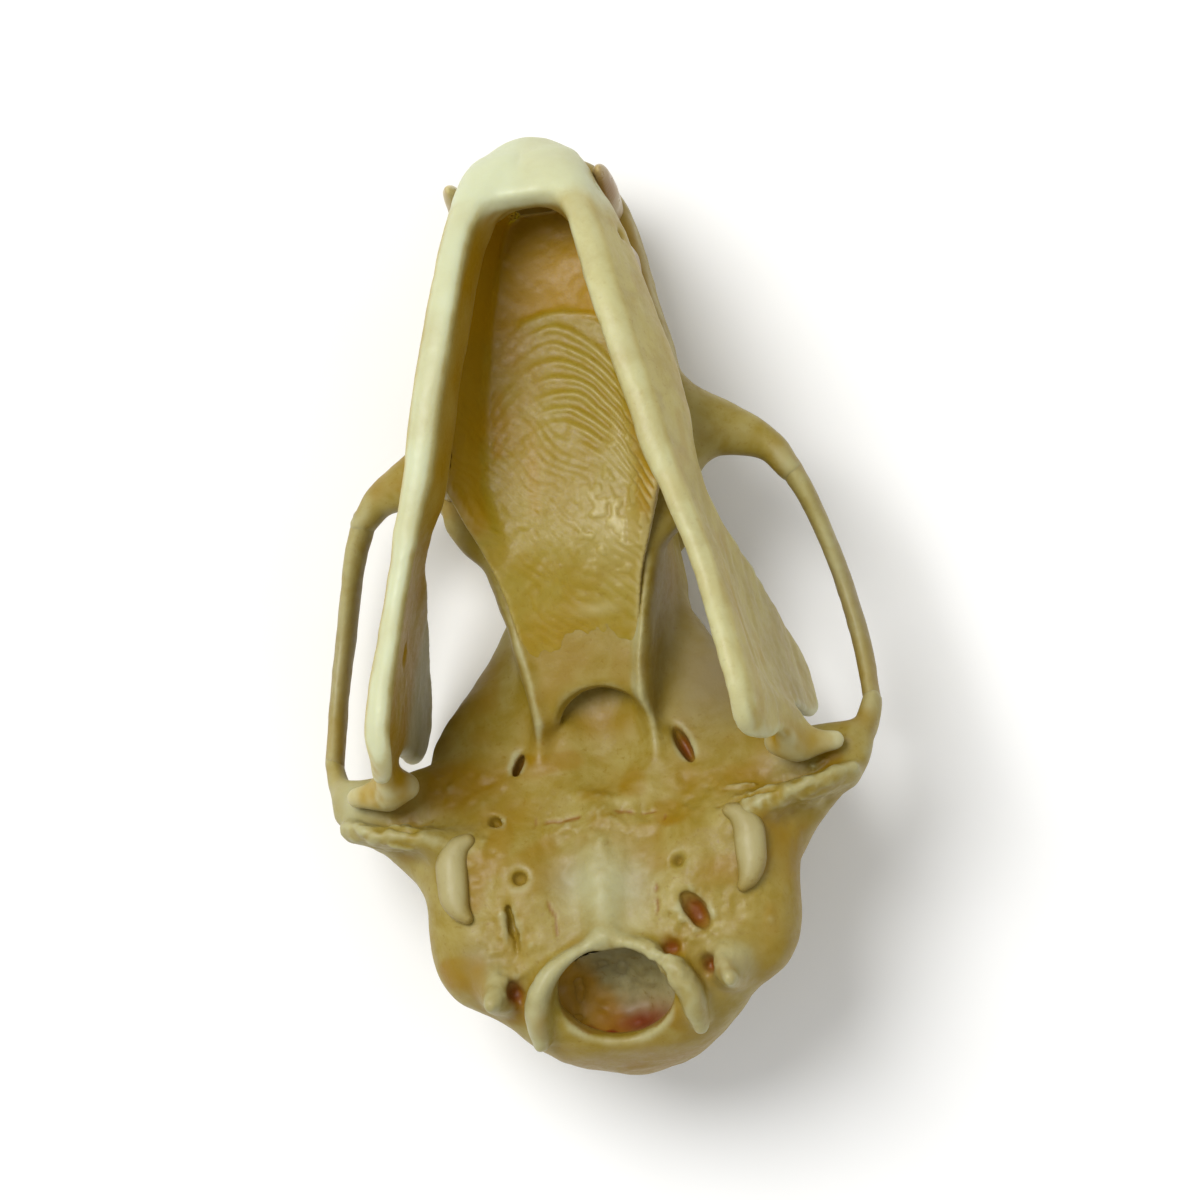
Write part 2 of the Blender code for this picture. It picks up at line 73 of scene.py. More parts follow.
def smooth_row(stations, place):
    """Values between stations, joined by curves that never swing past them."""
    table = np.array(sorted(stations), dtype=float)
    where, values = table[:, 0], table[:, 1:]
    step = np.diff(where)[:, None]
    rate = np.diff(values, axis=0) / step
    slope = np.zeros_like(values)
    slope[0], slope[-1] = rate[0], rate[-1]
    same_way = rate[:-1] * rate[1:] > 0
    total = np.where(same_way, rate[:-1] + rate[1:], 1.0)
    slope[1:-1] = np.where(same_way, 2 * rate[:-1] * rate[1:] / total, 0.0)
    place = np.clip(np.atleast_1d(place), where[0], where[-1])
    i = np.clip(np.searchsorted(where, place) - 1, 0, len(where) - 2)
    t = ((place - where[i]) / step[i, 0])[:, None]
    rise = values[i + 1] - values[i]
    a, b = step[i] * slope[i], step[i] * slope[i + 1]
    return values[i] + t * a + t * t * (3 * rise - 2 * a - b) + t ** 3 * (a + b - 2 * rise)


FAR_AWAY = 5.0      # mm, more than any form's joint reaches


class Clay:
    """A block of small cells that one bone is modelled in.

    Each cell holds about how far it is from the surface in millimetres, less than nothing
    inside. Forms are pressed on or dug out with a soft joint, as with real clay.
    """

    def __init__(self, low, high, cell):
        self.cell = cell
        self.low = np.array(low, dtype=np.float32)
        count = np.ceil((np.array(high) - self.low) / cell).astype(int) + 1
        self.far = np.full(count, FAR_AWAY, dtype=np.float32)

    def window(self, low, high):
        """The cells between two corners, and the places of their rows along x, y and z."""
        count = np.array(self.far.shape)
        first = np.floor((np.array(low) - self.low) / self.cell).astype(int)
        first = np.clip(first, 0, count - 2)
        last = np.ceil((np.array(high) - self.low) / self.cell).astype(int) + 1
        last = np.clip(last, first + 2, count)
        rows = [self.low[i] + self.cell * np.arange(first[i], last[i], dtype=np.float32)
                for i in range(3)]
        return tuple(slice(a, b) for a, b in zip(first, last)), np.ix_(*rows)

    def press_on(self, part, shape, blend):
        old = self.far[part]
        mix = np.clip(0.5 + 0.5 * (old - shape) / blend, 0, 1)
        self.far[part] = old + (shape - old) * mix - blend * mix * (1 - mix)

    def dig_out(self, part, shape, blend):
        old = self.far[part]
        mix = np.clip(0.5 - 0.5 * (old + shape) / blend, 0, 1)
        self.far[part] = old + (-shape - old) * mix + blend * mix * (1 - mix)

    def surface(self):
        """Points and four-sided faces of the surface between inside and outside."""
        inside = self.far < 0
        count = [n - 1 for n in self.far.shape]
        full = np.zeros(count, dtype=np.uint8)
        for i, j, k in np.ndindex(2, 2, 2):
            full += inside[i:i + count[0], j:j + count[1], k:k + count[2]]
        cells = np.argwhere((full > 0) & (full < 8))
        number = np.full(count, -1, dtype=np.int32)
        number[tuple(cells.T)] = np.arange(len(cells))
        place = np.zeros((len(cells), 3))
        hits = np.zeros(len(cells))
        for axis in range(3):
            for p, q in np.ndindex(2, 2):
                start = np.zeros(3, dtype=int)
                start[(axis + 1) % 3], start[(axis + 2) % 3] = p, q
                end = start.copy()
                end[axis] = 1
                a = self.far[tuple((cells + start).T)]
                b = self.far[tuple((cells + end).T)]
                crossed = (a < 0) != (b < 0)
                t = np.where(crossed, a / np.where(crossed, a - b, 1), 0)
                place += np.where(crossed[:, None], start + t[:, None] * (end - start), 0)
                hits += crossed
        points = self.low + self.cell * (cells + place / hits[:, None])
        faces = []
        for axis in range(3):
            u, v = (axis + 1) % 3, (axis + 2) % 3
            near = inside[tuple(slice(0, -1) if i == axis else slice(None) for i in range(3))]
            beyond = inside[tuple(slice(1, None) if i == axis else slice(None) for i in range(3))]
            at = np.argwhere(near != beyond)
            at = at[(at[:, u] > 0) & (at[:, v] > 0) & (at[:, u] < count[u]) & (at[:, v] < count[v])]
            corners = []
            for du, dv in ((-1, -1), (0, -1), (0, 0), (-1, 0)):
                moved = at.copy()
                moved[:, u] += du
                moved[:, v] += dv
                corners.append(number[tuple(moved.T)])
            square = np.stack(corners, axis=1)
            turned = ~near[tuple(at.T)]
            square[turned] = square[turned][:, ::-1]
            faces.append(square)
        return points, np.concatenate(faces)


def evened(shape, cell):
    """The same surface, with the values around it turned into true distances."""
    slope = np.sqrt(sum(g * g for g in np.gradient(shape, cell)))
    return shape / np.clip(slope, 0.3, None)


def long_form(clay, stations, blend, square=2.4, roof=None, widest=0.5, dig=False, end=0.5):
    """Form along y from stations of (y, half width, roof z, underside z)."""
    table = np.array(sorted(stations), dtype=float)
    reach = blend + 0.6
    wide = table[:, 1].max() + reach
    part, (x, y, z) = clay.window((-wide, table[0, 0] - reach, table[:, 2].min() - reach),
                                  (wide, table[-1, 0] + reach, table[:, 3].max() + reach))
    sizes = smooth_row(stations, y.ravel()).astype(np.float32)
    half, top, under = (sizes[:, i].reshape(1, -1, 1) for i in range(3))
    level = under + (top - under) * widest
    halves = []     # each half is drawn whole, so that both agree where they meet
    for height, power in ((under - level, square), (level - top, roof or square)):
        out = (np.abs(x / half) ** power + np.abs((z - level) / height) ** power) ** (1 / power)
        halves.append(evened((out - 1) * np.minimum(half, height), clay.cell))
    shape = np.where(z > level, *halves)
    past = np.maximum(table[0, 0] - y, y - table[-1, 0])
    mix = np.clip(0.5 + 0.5 * (past - shape) / end, 0, 1)
    shape = shape + (past - shape) * mix + end * mix * (1 - mix)
    (clay.dig_out if dig else clay.press_on)(part, shape, blend)


def bar(clay, rows, blend=0.3, steps=24, dig=False):
    """Bar along a bent line: rows of (x, y, z, half thickness, half height in z)."""
    line = smooth_row([(i, *row) for i, row in enumerate(rows)],
                      np.linspace(0, len(rows) - 1, steps + 1))
    reach = line[:, 3:].max() + blend + 0.4
    whole, _ = clay.window(line[:, :3].min(axis=0) - reach, line[:, :3].max(axis=0) + reach)
    shape = np.full([s.stop - s.start for s in whole], FAR_AWAY, dtype=np.float32)
    for a, b in zip(line, line[1:]):
        part, (x, y, z) = clay.window(np.minimum(a, b)[:3] - reach, np.maximum(a, b)[:3] + reach)
        step = b[:3] - a[:3]
        length = np.linalg.norm(step)
        forward = step / length
        guide = (0, 0, 1) if abs(forward[2]) < 0.9 else (0, 1, 0)
        across = np.cross(forward, guide)
        across /= np.linalg.norm(across)
        upright = np.cross(across, forward)
        dx, dy, dz = x - a[0], y - a[1], z - a[2]
        along = dx * forward[0] + dy * forward[1] + dz * forward[2]
        t = np.clip(along / length, 0, 1)
        thick = a[3] + (b[3] - a[3]) * t
        tall = a[4] + (b[4] - a[4]) * t
        least = np.minimum(thick, tall)
        out = np.sqrt(((dx * across[0] + dy * across[1] + dz * across[2]) / thick) ** 2
                      + ((dx * upright[0] + dy * upright[1] + dz * upright[2]) / tall) ** 2
                      + ((along - t * length) / least) ** 2)
        inner = tuple(slice(s.start - w.start, s.stop - w.start) for s, w in zip(part, whole))
        shape[inner] = np.minimum(shape[inner], (out - 1) * least)
    (clay.dig_out if dig else clay.press_on)(whole, shape, blend)


def knob(clay, centre, radii, turned=(0, 0, 0), blend=0.4, dig=False):
    """Egg-shaped swelling or pit, turned by three angles in degrees."""
    reach = max(radii) + blend + 0.4
    centre = np.array(centre)
    part, (x, y, z) = clay.window(centre - reach, centre + reach)
    axes = np.eye(3)
    for axis, angle in zip("XYZ", turned):
        axes = np.array(Matrix.Rotation(math.radians(angle), 3, axis)) @ axes
    dx, dy, dz = x - centre[0], y - centre[1], z - centre[2]
    out = 0
    for i in range(3):
        along = dx * axes[0, i] + dy * axes[1, i] + dz * axes[2, i]
        out = out + (along / radii[i]) ** 2
    shape = (np.sqrt(out) - 1) * min(radii)
    (clay.dig_out if dig else clay.press_on)(part, shape, blend)


def neighbour_mean(values, faces):
    """Mean of the values at the points that share an edge with each point."""
    start = faces.ravel()
    end = np.roll(faces, -1, axis=1).ravel()
    count = np.bincount(start, minlength=len(values))
    count = np.maximum(count, 1)
    columns = [np.bincount(start, weights=column[end], minlength=len(values)) / count
               for column in values.T]
    return np.stack(columns, axis=1)


def outward(points, faces):
    """Direction out of the surface at each point."""
    a, b, c, d = (points[faces[:, i]] for i in range(4))
    normal = np.cross(c - a, d - b)
    total = np.zeros_like(points)
    for i in range(4):
        for axis in range(3):
            total[:, axis] += np.bincount(faces[:, i], weights=normal[:, axis],
                                          minlength=len(points))
    return total / np.maximum(np.linalg.norm(total, axis=1), 1e-12)[:, None]


def sanded(clay, rounds):
    """Points and faces of a block's surface after light sanding, and the directions out of it."""
    points, faces = clay.surface()
    for _ in range(rounds):
        points = points + 0.5 * (neighbour_mean(points, faces) - points)
    return points, faces, outward(points, faces)


def cloud(points, size, seed):
    """Soft random values between about -1 and 1, in blobs some size millimetres across."""
    table_size = 4096       # a power of two, so that its last bits pick a value
    table = np.random.default_rng(seed).uniform(-1, 1, table_size)
    place = points / size
    base = np.floor(place).astype(np.int64)
    part = place - base
    part = part * part * (3 - 2 * part)
    total = np.zeros(len(points))
    for step in np.ndindex(2, 2, 2):
        cell = base + np.array(step)
        key = (cell[:, 0] * 73856093) ^ (cell[:, 1] * 19349663) ^ (cell[:, 2] * 83492791)
        weight = np.prod(np.where(np.array(step) == 1, part, 1 - part), axis=1)
        total += table[key & (table_size - 1)] * weight
    return total


def from_line(points, line):
    """Distance of each point from a bent line."""
    best = np.full(len(points), 1e9)
    line = np.array(line, dtype=float)
    for a, b in zip(line, line[1:]):
        step = b - a
        t = np.clip((points - a) @ step / (step @ step), 0, 1)
        best = np.minimum(best, np.linalg.norm(points - a - t[:, None] * step, axis=1))
    return best


def spot(points, centre, radii):
    """1 at the middle of a soft spot, falling away over its radii."""
    return np.exp(-(((points - np.array(centre)) / np.array(radii)) ** 2).sum(axis=1))


def spots(points, rows):
    """The strongest of several soft spots: rows of (strength, x, y, z, three radii)."""
    return np.maximum.reduce([row[0] * spot(points, row[1:4], row[4:]) for row in rows])


def fade(values, low, high):
    """0 at low, 1 at high and smooth between; low may be above high."""
    t = np.clip((values - low) / (high - low), 0, 1)
    return t * t * (3 - 2 * t)


def hollowness(points, faces, normals, rounds):
    """How far each point lies under its softened surroundings, in millimetres."""
    soft = points
    for _ in range(rounds):
        soft = neighbour_mean(soft, faces)
    return ((soft - points) * normals).sum(axis=1)


def piece_from(name, material, points, faces, masks):
    """Object from points in the skull's frame, with one value a point for each mask."""
    mesh = bpy.data.meshes.new(name)
    mesh.from_pydata(points, [], faces)
    for mask, values in masks.items():
        layer = mesh.attributes.new(mask, "FLOAT", "POINT")
        layer.data.foreach_set("value", np.clip(values, 0, 1).astype(np.float32))
    mesh.transform(lay_down)
    mesh.shade_smooth()
    mesh.materials.append(material)
    made = bpy.data.objects.new(name, mesh)
    bpy.context.scene.collection.objects.link(made)
    return made


def linear(text, alpha=1.0):
    """Colour from its sRGB hex value, turned to linear light."""
    parts = [int(text[i:i + 2], 16) / 255 for i in (1, 3, 5)]
    parts = [p / 12.92 if p <= 0.04045 else ((p + 0.055) / 1.055) ** 2.4 for p in parts]
    return (*parts, alpha)


# Numbers of the colour sockets of a Mix node, whose names are not its own.
MIX_FACTOR, MIX_A, MIX_B, MIX_RESULT = 0, 6, 7, 2


def add_node(material, kind, values=(), links=(), **settings):
    """A node with its settings, its plain inputs and what is linked to its inputs."""
    made = material.node_tree.nodes.new(kind)
    for key, value in settings.items():
        setattr(made, key, value)
    for key, value in values:
        made.inputs[key].default_value = value
    for key, source in links:
        material.node_tree.links.new(source, made.inputs[key])
    return made


def dried_bone(name, plain, paler, oily, paints, roughness):
    """Cleaned and dried bone: a fine matt grain under a thin film of old fat.

    The eye gets a soft deep glow from it, a weak wide sheen, patches where the fat soaked in
    and tiny pits. Each paint is a mask of the piece with its colour, laid on in order.
    """
    material = bpy.data.materials.new(name)
    material.use_nodes = True
    shader = material.node_tree.nodes["Principled BSDF"]
    place = add_node(material, "ShaderNodeTexCoord").outputs["Object"]
    patch_size, grain_size, pit_size = 1.6, 0.25, 0.34     # mm
    patches = add_node(material, "ShaderNodeTexNoise",
                       [("Scale", 1 / (patch_size * MILLIMETRE)), ("Detail", 5.0),
                        ("Roughness", 0.62), ("Distortion", 0.4)], [("Vector", place)])
    grain = add_node(material, "ShaderNodeTexNoise",
                     [("Scale", 1 / (grain_size * MILLIMETRE)), ("Detail", 4.0),
                      ("Roughness", 0.65)], [("Vector", place)])
    pits = add_node(material, "ShaderNodeTexVoronoi",
                    [("Scale", 1 / (pit_size * MILLIMETRE)), ("Randomness", 1.0)],
                    [("Vector", place)])
    spread = add_node(material, "ShaderNodeMapRange", [("From Min", 0.36), ("From Max", 0.66)],
                      [("Value", patches.outputs["Fac"])], interpolation_type="SMOOTHSTEP")
    colour = add_node(material, "ShaderNodeMix",
                      [(MIX_A, linear(plain)), (MIX_B, linear(paler))],
                      [(MIX_FACTOR, spread.outputs[0])], data_type="RGBA").outputs[MIX_RESULT]
    soaked = add_node(material, "ShaderNodeMapRange",
                      [("From Min", 0.42), ("From Max", 0.30), ("To Max", 0.55)],
                      [("Value", grain.outputs["Fac"])])
    colour = add_node(material, "ShaderNodeMix", [(MIX_B, linear(oily))],
                      [(MIX_FACTOR, soaked.outputs[0]), (MIX_A, colour)],
                      data_type="RGBA").outputs[MIX_RESULT]
    for mask, paint in paints:
        read = add_node(material, "ShaderNodeAttribute", attribute_name=mask)
        ragged = add_node(material, "ShaderNodeMath", [(1, 0.5)],
                          [(0, patches.outputs["Fac"])], operation="SUBTRACT")
        ragged = add_node(material, "ShaderNodeMath", [(1, 0.9)],
                          [(0, ragged.outputs[0])], operation="MULTIPLY")
        inner = add_node(material, "ShaderNodeMath", [],
                         [(0, read.outputs["Fac"]), (1, read.outputs["Fac"])],
                         operation="MULTIPLY")
        edge = add_node(material, "ShaderNodeMath", [],
                        [(0, read.outputs["Fac"]), (1, inner.outputs[0])],
                        operation="SUBTRACT")
        edge = add_node(material, "ShaderNodeMath", [(1, 2.4)],
                        [(0, edge.outputs[0])], operation="MULTIPLY")
        torn = add_node(material, "ShaderNodeMath", [],
                        [(0, ragged.outputs[0]), (1, edge.outputs[0]),
                         (2, read.outputs["Fac"])], operation="MULTIPLY_ADD", use_clamp=True)
        colour = add_node(material, "ShaderNodeMix", [(MIX_B, linear(paint))],
                          [(MIX_FACTOR, torn.outputs[0]), (MIX_A, colour)],
                          data_type="RGBA").outputs[MIX_RESULT]
    material.node_tree.links.new(colour, shader.inputs["Base Color"])
    gloss = add_node(material, "ShaderNodeMapRange",
                     [("From Min", 0.3), ("From Max", 0.7), ("To Min", roughness - 0.08),
                      ("To Max", roughness + 0.12)], [("Value", grain.outputs["Fac"])])
    material.node_tree.links.new(gloss.outputs[0], shader.inputs["Roughness"])
    pit_depth = add_node(material, "ShaderNodeMapRange", [("From Min", 0.0), ("From Max", 0.35)],
                         [("Value", pits.outputs["Distance"])], interpolation_type="SMOOTHSTEP")
    height = add_node(material, "ShaderNodeMath", [(1, 0.35)],
                      [(0, pit_depth.outputs[0]), (2, grain.outputs["Fac"])],
                      operation="MULTIPLY_ADD")
    bump = add_node(material, "ShaderNodeBump",
                    [("Strength", 0.35), ("Distance", 0.03 * MILLIMETRE)],
                    [("Height", height.outputs[0])])
    material.node_tree.links.new(bump.outputs[0], shader.inputs["Normal"])
    shader.inputs["IOR"].default_value = 1.5
    shader.inputs["Subsurface Weight"].default_value = 0.25
    shader.inputs["Subsurface Radius"].default_value = (1.0, 0.85, 0.4)
    shader.inputs["Subsurface Scale"].default_value = 0.6 * MILLIMETRE
    shader.inputs["Specular IOR Level"].default_value = 0.3
    shader.inputs["Coat Weight"].default_value = 0.05
    shader.inputs["Coat Roughness"].default_value = 0.3
    return material


def mirrored(side, rows):
    """Rows drawn for the animal's left, or their mirror image where side is -1."""
    return [(side * row[0], *row[1:]) for row in rows]


bone_block = Clay((-11.7, -37.3, -13.2), (11.7, 0.2, 0.4), 0.1)     # cells of 0.1 mm

# Brain box, drawn in to a waist behind the eyes, and the snout in front of it.
BRAINCASE = [
    (-36.4, 1.3, -8.6, -6.2), (-35.9, 2.8, -9.5, -4.6), (-34.4, 4.7, -10.7, -3.2),
    (-32.2, 6.2, -11.7, -2.5), (-29.5, 7.1, -12.4, -2.6), (-26.5, 7.5, -12.4, -3.1),
    (-24.6, 7.3, -12.1, -3.5), (-23.0, 6.95, -11.7, -3.9), (-21.5, 5.95, -11.2, -4.2),
    (-20.2, 4.85, -10.7, -4.4), (-19.0, 4.05, -10.3, -4.5), (-17.6, 3.4, -9.8, -4.5),
    (-15.0, 3.4, -9.2, -4.2),
]
BRAINCASE_ROOF, BRAINCASE_WIDEST = 1.85, 0.27
long_form(bone_block, BRAINCASE, 0.4, square=2.6, roof=BRAINCASE_ROOF, widest=BRAINCASE_WIDEST)


def on_braincase(y, angle, side=1, proud=0.0):
    """Point of the brain box's wall: 0 degrees is its widest level and 90 the roof's middle."""
    half, top, under = smooth_row(BRAINCASE, y)[0]
    level = under + (top - under) * BRAINCASE_WIDEST
    across = math.cos(math.radians(angle)) ** (2 / BRAINCASE_ROOF)
    up = math.sin(math.radians(angle)) ** (2 / BRAINCASE_ROOF)
    return (side * (half + proud) * across, y, level - (level - top + proud) * up)


long_form(bone_block, [
    (-18.2, 3.2, -9.9, -4.6), (-16.2, 3.9, -9.4, -3.0), (-13.0, 4.2, -8.6, -1.2),
    (-10.0, 3.7, -7.8, -1.0), (-6.5, 3.3, -7.0, -1.0), (-3.5, 2.9, -6.4, -1.0),
    (-2.0, 2.4, -6.15, -1.2), (-1.3, 1.6, -5.9, -1.8),
], 1.0, square=2.6, roof=1.8)

# Palate shelf that carries the tooth rows, running back as a narrower roof of the throat.
long_form(bone_block, [
    (-16.6, 4.1, -2.4, -0.9), (-15.0, 5.0, -3.2, -0.5), (-12.0, 5.1, -3.4, -0.5),
    (-9.5, 4.65, -3.6, -0.5), (-6.5, 4.0, -3.6, -0.5), (-3.2, 3.3, -3.6, -0.5),
    (-1.5, 2.3, -3.0, -0.5), (-0.8, 1.4, -2.0, -0.7),
], 0.5, square=4.0, end=0.7)
long_form(bone_block, [
    (-23.4, 2.1, -3.5, -2.75), (-22.2, 2.3, -3.2, -2.3), (-20.3, 2.6, -3.0, -1.7),
    (-18.4, 3.0, -2.8, -1.1), (-16.8, 3.6, -2.4, -0.7), (-14.0, 4.3, -2.2, -0.5),
], 0.9, square=3.0, end=0.4)
# Side wall of the throat, between the palate and the brain box.
long_form(bone_block, [
    (-23.5, 3.6, -6.5, -4.3), (-21.5, 3.0, -6.5, -3.4), (-19.0, 2.9, -6.5, -2.4),
    (-16.8, 3.2, -6.0, -1.6),
], 0.8, square=2.6, end=0.5)

for side in (1, -1):
    # Thin upright walls beside the inner nose opening; only the left one stands proud.
    worn = 0.0 if side > 0 else -0.32
    bar(bone_block, mirrored(side, [
        (2.9, -15.8, -2.6 + worn, 0.5, 1.4), (3.0, -17.5, -2.95 + worn, 0.4, 1.9),
        (2.6, -19.6, -3.35 + worn, 0.3, 2.0), (2.2, -21.6, -3.75 + worn, 0.27, 1.9),
        (2.1, -23.0, -4.2 + worn, 0.27, 1.5), (2.3, -24.4, -4.6, 0.3, 1.0)]), 0.5)
    # Spike over the rear of the eye socket and the brow edge that leads to it.
    bar(bone_block, mirrored(side, [
        (2.4, -10.6, -7.0, 0.6, 0.4), (2.9, -12.6, -7.6, 0.8, 0.45),
        (3.6, -14.0, -8.1, 0.7, 0.4), (4.2, -14.7, -8.45, 0.42, 0.3),
        (4.65, -15.3, -8.6, 0.16, 0.16)]), 0.8)
    # Temple ridges that run from the brows to meet on the crest.
    bar(bone_block, mirrored(side, [
        (3.4, -14.4, -8.3, 0.4, 0.3), (2.0, -16.2, -9.0, 0.3, 0.3),
        (0.7, -18.6, -10.0, 0.25, 0.25), (0.1, -21.5, -11.0, 0.2, 0.2)]), 0.7)
    # Hollow of the eye socket in the side wall, with its small nerve holes.
    knob(bone_block, (side * 4.6, -15.3, -5.9), (1.3, 2.1, 1.7), blend=1.2, dig=True)
    knob(bone_block, (side * 3.7, -19.1, -6.6), (0.5, 0.3, 0.26), (0, 0, side * 35), 0.15, True)
    # Root of the cheek arch on the upper jaw; the left one in the picture starts further back.
    back = 0.0 if side > 0 else -0.45
    bar(bone_block, mirrored(side, [
        (3.4, -12.0, -2.5, 1.8, 1.3), (5.0, -12.15 + back, -2.2, 1.45, 1.15),
        (6.6, -12.55 + back, -2.45, 0.95, 0.9), (7.8, -13.15 + back * 0.6, -2.85, 0.62, 0.78),
        (8.6, -14.2, -3.16, 0.45, 0.73)]), 0.9)
    # Hole for the cheek nerve in front of the root.
    knob(bone_block, (side * 3.9, -9.7, -3.7), (0.5, 0.9, 0.45), (0, 0, side * -20), 0.3, True)
    # Shelf beside the brain box that the jaw hinges on, with the rear end of the arch.
    bar(bone_block, mirrored(side, [
        (4.2, -25.9, -5.2, 2.2, 1.4), (6.9, -25.7, -4.15, 1.6, 0.95),
        (9.0, -25.6, -3.75, 1.2, 0.7), (10.0, -25.3, -3.6, 0.85, 0.6)]), 0.9)
    bar(bone_block, mirrored(side, [
        (9.3, -25.5, -3.85, 0.8, 0.6), (10.4, -24.6, -4.25, 0.48, 0.66),
        (10.74, -23.45, -4.65, 0.36, 0.7)]), 0.6)
    bar(bone_block, mirrored(side, [
        (9.4, -25.6, -4.2, 0.75, 0.7), (8.3, -26.7, -4.5, 0.85, 0.9),
        (7.0, -28.0, -4.9, 0.9, 1.1)]), 0.8)
    bar(bone_block, mirrored(side, [
        (5.2, -28.0, -3.1, 0.8, 0.7), (7.0, -27.3, -2.6, 0.5, 0.95),
        (8.6, -27.0, -2.55, 0.4, 0.95), (9.8, -26.5, -3.1, 0.38, 0.7)]), 0.5)
    # Swellings of the underside: seat of the ear, inner ear and rear corner.
    knob(bone_block, (side * 5.0, -29.2, -4.0), (2.2, 3.0, 1.6), blend=0.9)
    knob(bone_block, (side * 3.2, -29.9, -3.35), (1.3, 2.3, 1.05), (0, 0, side * -14), 0.7)
    knob(bone_block, (side * 5.3, -31.6, -4.7), (1.85, 2.2, 1.7), blend=0.9)
    knob(bone_block, (side * 4.6, -33.1, -3.6), (0.75, 0.8, 1.0), blend=0.5)
    bar(bone_block, mirrored(side, [
        (4.2, -33.0, -4.2, 0.9, 0.9), (4.5, -33.7, -2.9, 0.5, 0.7),
        (4.65, -34.15, -2.0, 0.24, 0.3)]), 0.5)
    # Neck knobs: a raised lip of smooth bone that bends round each side of the cord opening.
    bar(bone_block, mirrored(side, [
        (0.35, -32.1, -2.55, 0.3, 0.34), (1.5, -32.65, -2.4, 0.36, 0.5),
        (2.45, -33.4, -2.5, 0.48, 0.7), (3.0, -34.5, -3.0, 0.5, 0.8),
        (3.1, -35.4, -3.9, 0.35, 0.6)]), 0.45)
    # Low crest where the neck muscles ended, over the rear of the roof.
    bar(bone_block, [(*on_braincase(y, angle, side, -0.02), 0.2, 0.2) for y, angle in [
        (-32.9, 35), (-33.2, 45), (-33.9, 65), (-34.3, 80), (-34.4, 90)]], 0.5)

# Crest along the roof and keel along the base.
bar(bone_block, [(0, -17.0, -9.55, 0.3, 0.3), (0, -20.0, -10.5, 0.32, 0.36),
                 (0, -25.0, -12.05, 0.34, 0.42), (0, -30.0, -12.15, 0.34, 0.4),
                 (0, -34.6, -10.5, 0.3, 0.3)], 0.5)
bar(bone_block, [(-0.1, -26.5, -3.25, 0.3, 0.25), (-0.1, -29.0, -2.75, 0.42, 0.3),
                 (-0.12, -31.9, -2.45, 0.3, 0.3)], 0.7)

# Hollow of the brain and its way out at the rear, an egg-shaped opening tilted to the neck.
long_form(bone_block, [
    (-35.2, 2.0, -8.6, -5.0), (-33.8, 3.9, -9.7, -4.0), (-31.0, 5.6, -11.4, -3.6),
    (-27.0, 6.5, -11.4, -4.2), (-23.0, 5.8, -10.6, -5.0), (-20.4, 4.0, -9.6, -5.5),
    (-19.0, 2.2, -8.8, -5.8),
], 0.2, square=2.6, roof=2.0, widest=0.3, dig=True)
CORD_OPENING_TILT = math.radians(32.0)
CORD_OPENING_Y, CORD_OPENING_Z, CORD_OPENING_DEPTH = -34.3, -2.9, 2.4
CORD_OPENING_HALF_WIDTH, CORD_OPENING_HALF_LENGTH = 2.3, 1.85
part, (x, y, z) = bone_block.window((-3.5, -37.0, -7.0), (3.5, -31.0, 0.4))
back, up = y - CORD_OPENING_Y, z - CORD_OPENING_Z
level_y = back * math.cos(CORD_OPENING_TILT) + up * math.sin(CORD_OPENING_TILT)
depth = -back * math.sin(CORD_OPENING_TILT) + up * math.cos(CORD_OPENING_TILT)
egg = np.sqrt((x / (CORD_OPENING_HALF_WIDTH + 0.1 * level_y)) ** 2
              + (level_y / CORD_OPENING_HALF_LENGTH) ** 2) - 1
bone_block.dig_out(part, np.maximum(egg * 1.9, -CORD_OPENING_DEPTH - depth), 0.35)

# Nose: the opening at the front and the one behind the palate.
knob(bone_block, (0, -0.7, -3.8), (1.1, 2.9, 1.5), blend=0.3, dig=True)
knob(bone_block, (0.3, -24.1, -2.78), (1.95, 2.05, 1.15), blend=0.3, dig=True)
knob(bone_block, (0.1, -21.5, -3.5), (1.5, 2.0, 0.45), (12, 0, 0), 0.2, True)

# Holes of the underside: (x, y, z, three radii, turn), as the photograph shows them.
for x, y, z, a, b, c, angle in [
    (3.35, -24.5, -3.9, 0.27, 0.9, 0.6, 24), (-3.2, -24.6, -4.0, 0.22, 0.6, 0.5, -24),
    (3.0, -29.3, -2.35, 0.24, 0.24, 0.45, 0), (3.45, -31.25, -2.5, 0.40, 0.78, 0.7, 30),
    (2.4, -32.6, -2.3, 0.42, 0.4, 0.6, 0), (3.75, -33.3, -2.9, 0.28, 0.4, 0.6, 20),
    (-3.2, -29.3, -2.4, 0.28, 0.28, 0.4, 0), (-3.7, -31.2, -2.6, 0.2, 1.0, 0.5, 6),
    (-3.85, -33.6, -2.9, 0.34, 0.5, 0.6, 10), (-4.1, -26.9, -3.2, 0.2, 0.35, 0.3, 40),
    (4.87, -34.8, -4.1, 0.12, 0.16, 0.35, 0),
]:
    knob(bone_block, (x, y, z), (a, b, c), (0, 0, angle), 0.18, True)

points, faces, normals = sanded(bone_block, 3)

